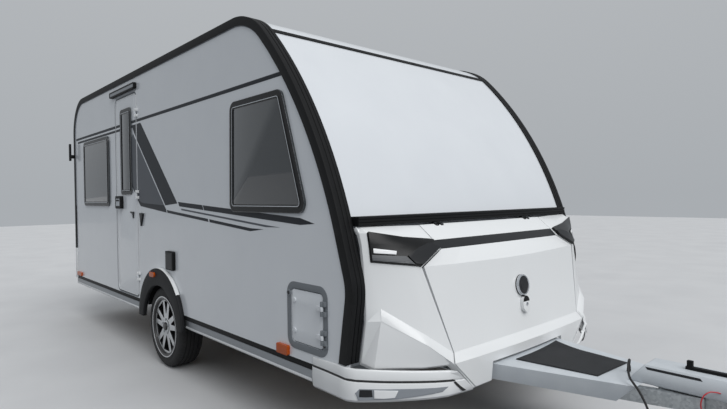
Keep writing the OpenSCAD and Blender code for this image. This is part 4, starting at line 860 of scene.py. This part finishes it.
BELT, SECOND = (2.079, 2.104), (2.040, 2.062)  # heights of the two long lines
FIELD_FOOT = [
    (0.078, slant(0.078) - 0.010), (-0.390, 1.354), (-0.440, 1.362), (-0.482, 1.378), (FRONT_EDGE, 1.404),
]
STRIPES = [
    ("belt_rear", slate, "body", "right",
     [(-2.54, BELT[0]), (REAR_EDGE, BELT[0]), (REAR_EDGE, BELT[1]), (-2.53, BELT[1])]),
    ("belt_door_rear", slate, "door", "right", box_corners(DOOR_LOW, PANE_LOW, *BELT)),
    ("belt_door_front", slate, "door", "right", box_corners(PANE_HIGH, DOOR_HIGH, *BELT)),
    ("belt_front", slate, "body", "right",
     [(FRONT_EDGE, BELT[0]), (1.80, BELT[0]), (1.82, BELT[1]), (FRONT_EDGE, BELT[1])]),
    ("second_rear", slate, "body", "right",
     [(-2.47, SECOND[0]), (REAR_EDGE, SECOND[0]), (REAR_EDGE, SECOND[1]), (-2.46, SECOND[1])]),
    ("second_door_rear", slate, "door", "right", box_corners(DOOR_LOW, PANE_LOW, *SECOND)),
    ("second_door_front", slate, "door", "right",
     [(PANE_HIGH, SECOND[0]), (-0.62, 2.034), (-0.605, 2.010), (DOOR_HIGH, slant(DOOR_HIGH) + 0.012),
      (DOOR_HIGH, SECOND[1]), (PANE_HIGH, SECOND[1])]),
    ("wedge", slate, "body", "right",
     [(FRONT_EDGE, slant(FRONT_EDGE) + 0.012), (0.102, slant(0.102) + 0.012), (0.340, 1.352),
      (-0.426, SECOND[1]), (FRONT_EDGE, SECOND[1])]),
    ("field_door", ash, "door", "right",
     [(PANE_HIGH, 1.523), (DOOR_HIGH, 1.412), (DOOR_HIGH, slant(DOOR_HIGH) - 0.008),
      (-0.620, slant(-0.620) - 0.012), (PANE_HIGH, 1.955)]),
    ("field", ash, "body", "right", [*reversed(FIELD_FOOT), (FRONT_EDGE, slant(FRONT_EDGE) - 0.008)]),
    ("lower_a_rear", slate, "body", "right", [(0.375, 1.330), (0.79, 1.306), (0.772, 1.341), (0.352, 1.364)]),
    ("lower_a_front", slate, "body", "both",
     [(0.800, 1.305), (1.967, 1.238), (2.10, 1.248), (1.968, 1.276), (0.782, 1.340)]),
    ("lower_b", ash, "body", "both",
     [(0.41, 1.301), (1.62, 1.214), (1.77, 1.217), (1.62, 1.226), (0.41, 1.313)]),
    ("lower_c_rear", slate, "body", "right",
     [(-0.448, 1.326), (0.125, 1.278), (0.118, 1.300), *FIELD_FOOT, (FRONT_EDGE, 1.378), (-0.480, 1.345)]),
    ("field_edge_door", slate, "door", "right",
     [(PANE_HIGH, 1.500), (DOOR_HIGH, 1.388), (DOOR_HIGH, 1.412), (PANE_HIGH, 1.523)]),
    ("lower_c_middle", slate, "body", "both", [(0.142, 1.277), (0.866, 1.224), (0.858, 1.245), (0.134, 1.299)]),
    ("lower_c_front", slate, "body", "both",
     [(0.886, 1.222), (1.44, 1.182), (1.592, 1.200), (1.44, 1.201), (0.878, 1.243)]),
    ("belt", slate, "body", "left", [(-2.54, BELT[0]), (1.80, BELT[0]), (1.82, BELT[1]), (-2.53, BELT[1])]),
    ("second", slate, "body", "left",
     [(-2.47, SECOND[0]), (0.60, SECOND[0]), (0.574, SECOND[1]), (-2.46, SECOND[1])]),
    ("lower_a_rear", slate, "body", "left", [(0.520, 1.322), (0.79, 1.306), (0.772, 1.341), (0.500, 1.356)]),
    ("lower_c_rear", slate, "body", "left", [(-0.80, 1.280), (0.125, 1.277), (0.118, 1.299), (-0.78, 1.302)]),
]
for name, finish, body, where, shape in STRIPES:
    for side, mark in SIDES:
        if where not in (mark, "both"):
            continue
        loops = [[Vector((x + AXLE, side * (WALL + d), z)) for x, z in shape] for d in (FILM, FILM_IN)]
        loft(f"stripe_{name}_{mark}", loops, finish, body)


# Door fittings: a black pull with a light cup in it, a bright rolled edge round the leaf, and
# the two moulded halves of the clip that holds the door open.
HANDLE = box_corners(-1060, -910, 1300, 1420)
CUP = [(26, 28), (26, 31), (30, 32), (40, 30.6)]  # in from the pull's outline, and out from the wall
cup = [[at(q.x, -(FACE + out), q.y) for q in outline(HANDLE, 24, inset)] for inset, out in CUP]
loft("handle_cup", cup, cover_grey, "door")
leaf_low, leaf_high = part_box("door_leaf")
DOOR = box_corners(DOOR_LOW * 1000, DOOR_HIGH * 1000, leaf_low[2] * 1000, leaf_high[2] * 1000)
ROLL = [(1, -1), (1, 1.6), (3, 2.4), (8, 2.4), (10, 1.6), (10, -1)]
wall_ring("door_edge", DOOR, 58, ROLL, flange_metal, body="door")
GRIP = box_corners(-1030, -940, 1372, 1386)
grip = [[at(x, -(FACE + out), z) for x, z in GRIP] for out in (29, 36)]
loft("handle_grip", grip, trim_black, "door", edge=0.003)
for name, body, shape, out in (
    ("clip_door", "door", [(-640, 1212), (-620, 1275), (-712, 1275), (-700, 1262), (-655, 1258)], 10),
    ("clip_wall", "body", [(-428, 1150), (-370, 1262), (-400, 1266), (-460, 1266), (-448, 1235)], 16),
):
    loops = [[at(x, -(FACE + d), z) for x, z in shape] for d in (-0.5, out)]
    loft(name, loops, charcoal_and_shade, body, edge=0.002)

# Awning lamp and socket: black moulded frames round the lamp's lens and the socket's flap,
# screwed to the wall.
low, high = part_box("awning_lamp")
lamp_out = (-low[1] - WALL) * 1000
LAMP = box_corners(-1190, -510, 2380, 2430)
rim = lamp_out + 2.5
frame_steps = [(-2, 0), (-2, lamp_out + 1), (1, rim), (9, rim), (12, lamp_out - 1), (12, 0)]
wall_ring("lamp_frame", LAMP, 10, frame_steps, trim_black)
low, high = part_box("socket_box")
socket_out = (-low[1] - WALL) * 1000
SOCKET = box_corners(135, 285, 823, 972)
flap_steps = [(9, socket_out - 1), (9, socket_out + 2), (12, socket_out + 3), (30, socket_out + 3.4)]
flap = [[at(q.x, -(FACE + out), q.y) for q in outline(SOCKET, 14, inset)] for inset, out in flap_steps]
loft("socket_flap", flap, charcoal_and_shade)

# Locks of the service flap: grey turned bosses with a black barrel, set into two corners of
# the flap's frame.
FLAP_OUT = 3
FLAP_LOCKS = [(1858, 856), (2181, 618)]
BOSS = [(0.019, 0.0), (0.019, 0.004), (0.017, 0.006), (0.011, 0.0066), (0.011, 0.005)]
FLAP_BARREL = [(0.011, 0.0), (0.011, 0.0062), (0.009, 0.0072), (0.0, 0.0074)]
for k, (x, z) in enumerate(FLAP_LOCKS):
    spot = at(x, -(FACE + FLAP_OUT - 1), z)
    turned(f"flap_boss_{k}", BOSS, spot, Vector((0, -1, 0)), frame_grey)
    turned(f"flap_barrel_{k}", FLAP_BARREL, spot, Vector((0, -1, 0)), charcoal_and_shade)

# Edge trim lip: a soft grey fin along the trim's inner edge that seals it to the wall. It is
# swept along the wall's outline, which is walked as runs and arcs from the rear foot.
seal_grey, tree, skin, place = new_finish("soft_seal_grey", "#6e7277", 0.55)
dust = add(tree, "ShaderNodeTexNoise", [("Vector", place), ("Scale", 40.0), ("Detail", 4.0)])
add(tree, "ShaderNodeMapRange", [("Value", dust.outputs["Fac"]), ("To Min", 0.45), ("To Max", 0.7)],
    skin["Roughness"])
# Each run or arc: length or radius in millimetres, and turn in degrees.
RUNS = [(1653, 0), (380, 90), (3498, 0), (500, 45), (2850, 28), (211, 0), (300, 26.5), (250, 0)]
REAR_LOW, FRONT_LOW = 0.825, 0.560
LIP_IN, LIP_W = 0.048, 0.005
LIP = [(-0.001, 0.0), (-0.001, 0.0055), (LIP_W / 2, 0.0045), (LIP_W, 0.0)]  # in past the trim, and out
ARC_STEP = 3  # degrees
spot, heading = Vector((-2.620, 0.497)), 90.0
edge_line = []
for size, turn in RUNS:
    steps = max(int(abs(turn) / ARC_STEP), 1) if turn else 2
    for k in range(steps):
        if turn:
            step = 2 * size / 1000 * math.sin(math.radians(turn / steps / 2))
            heading -= turn / steps / 2
        else:
            step = size / 1000 / steps
        spot = spot + step * Vector((math.cos(math.radians(heading)), math.sin(math.radians(heading))))
        heading -= turn / steps / 2
        inward = Vector((math.sin(math.radians(heading)), -math.cos(math.radians(heading))))
        edge_line.append((spot.copy(), inward))
edge_line = [(q, n) for q, n in edge_line if q.y > (REAR_LOW if q.x < 0 else FRONT_LOW)]
for side, mark in SIDES:
    loops = []
    for q, n in edge_line:
        spots = [(q + n * (LIP_IN + inset), d) for inset, d in LIP]
        loops.append([Vector((r.x + AXLE, side * (WALL + d), r.y)) for r, d in spots])
    loft(f"trim_lip_{mark}", loops, seal_grey)


# Mat on the drawbar cover: a black ribbed rubber sheet, cut by hand and laid loose, with one
# corner lifting. It is a grid of points that is given its thickness.
mat_rubber, tree, skin, place = new_finish("ribbed_rubber_sheet", "#242628", 0.68, Specular_IOR_Level=0.3)
ribs = add(tree, "ShaderNodeTexWave", [("Vector", place), ("Scale", WAVE / 0.004)], bands_direction="Y")
add(tree, "ShaderNodeBump", [("Height", ribs.outputs["Fac"]), ("Strength", 0.3), ("Distance", 0.0006)],
    skin["Normal"])
dust = add(tree, "ShaderNodeTexNoise", [("Vector", place), ("Scale", 12.0), ("Detail", 6.0)])
tone = add(tree, "ShaderNodeValToRGB", [("Fac", dust.outputs["Fac"])], skin["Base Color"])
tint(tone, "#1d1e20", "#2b2d30")
MAT = [(2715, -215), (3150, -165), (3170, 160), (2722, 225)]
MAT_Z, MAT_T, MAT_LIFT = 462.4, 5.0, 20.0
MAT_NX, MAT_NY = 40, 36
points = []
for i in range(MAT_NX + 1):
    for j in range(MAT_NY + 1):
        u, v = i / MAT_NX, j / MAT_NY
        q = Vector(MAT[0]).lerp(Vector(MAT[1]), u).lerp(Vector(MAT[3]).lerp(Vector(MAT[2]), u), v)
        lift = MAT_LIFT * max(0.0, (v - u * 1.5 - 0.35) / 0.65) ** 1.7
        ripple = 0.5 * (1 + math.sin(q.x / 61) * math.cos(q.y / 53))
        points.append(at(q.x, q.y, MAT_Z + lift + ripple))
row = MAT_NY + 1
faces = []
for i in range(MAT_NX):
    faces += [[i * row + j, (i + 1) * row + j, (i + 1) * row + j + 1, i * row + j + 1] for j in range(MAT_NY)]
mat = piece("rubber_mat", points, faces, mat_rubber, smooth=True)
thick = mat.modifiers.new("thickness", "SOLIDIFY")
thick.thickness = MAT_T / 1000
thick.offset = 1.0
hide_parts("drawbar_mat")
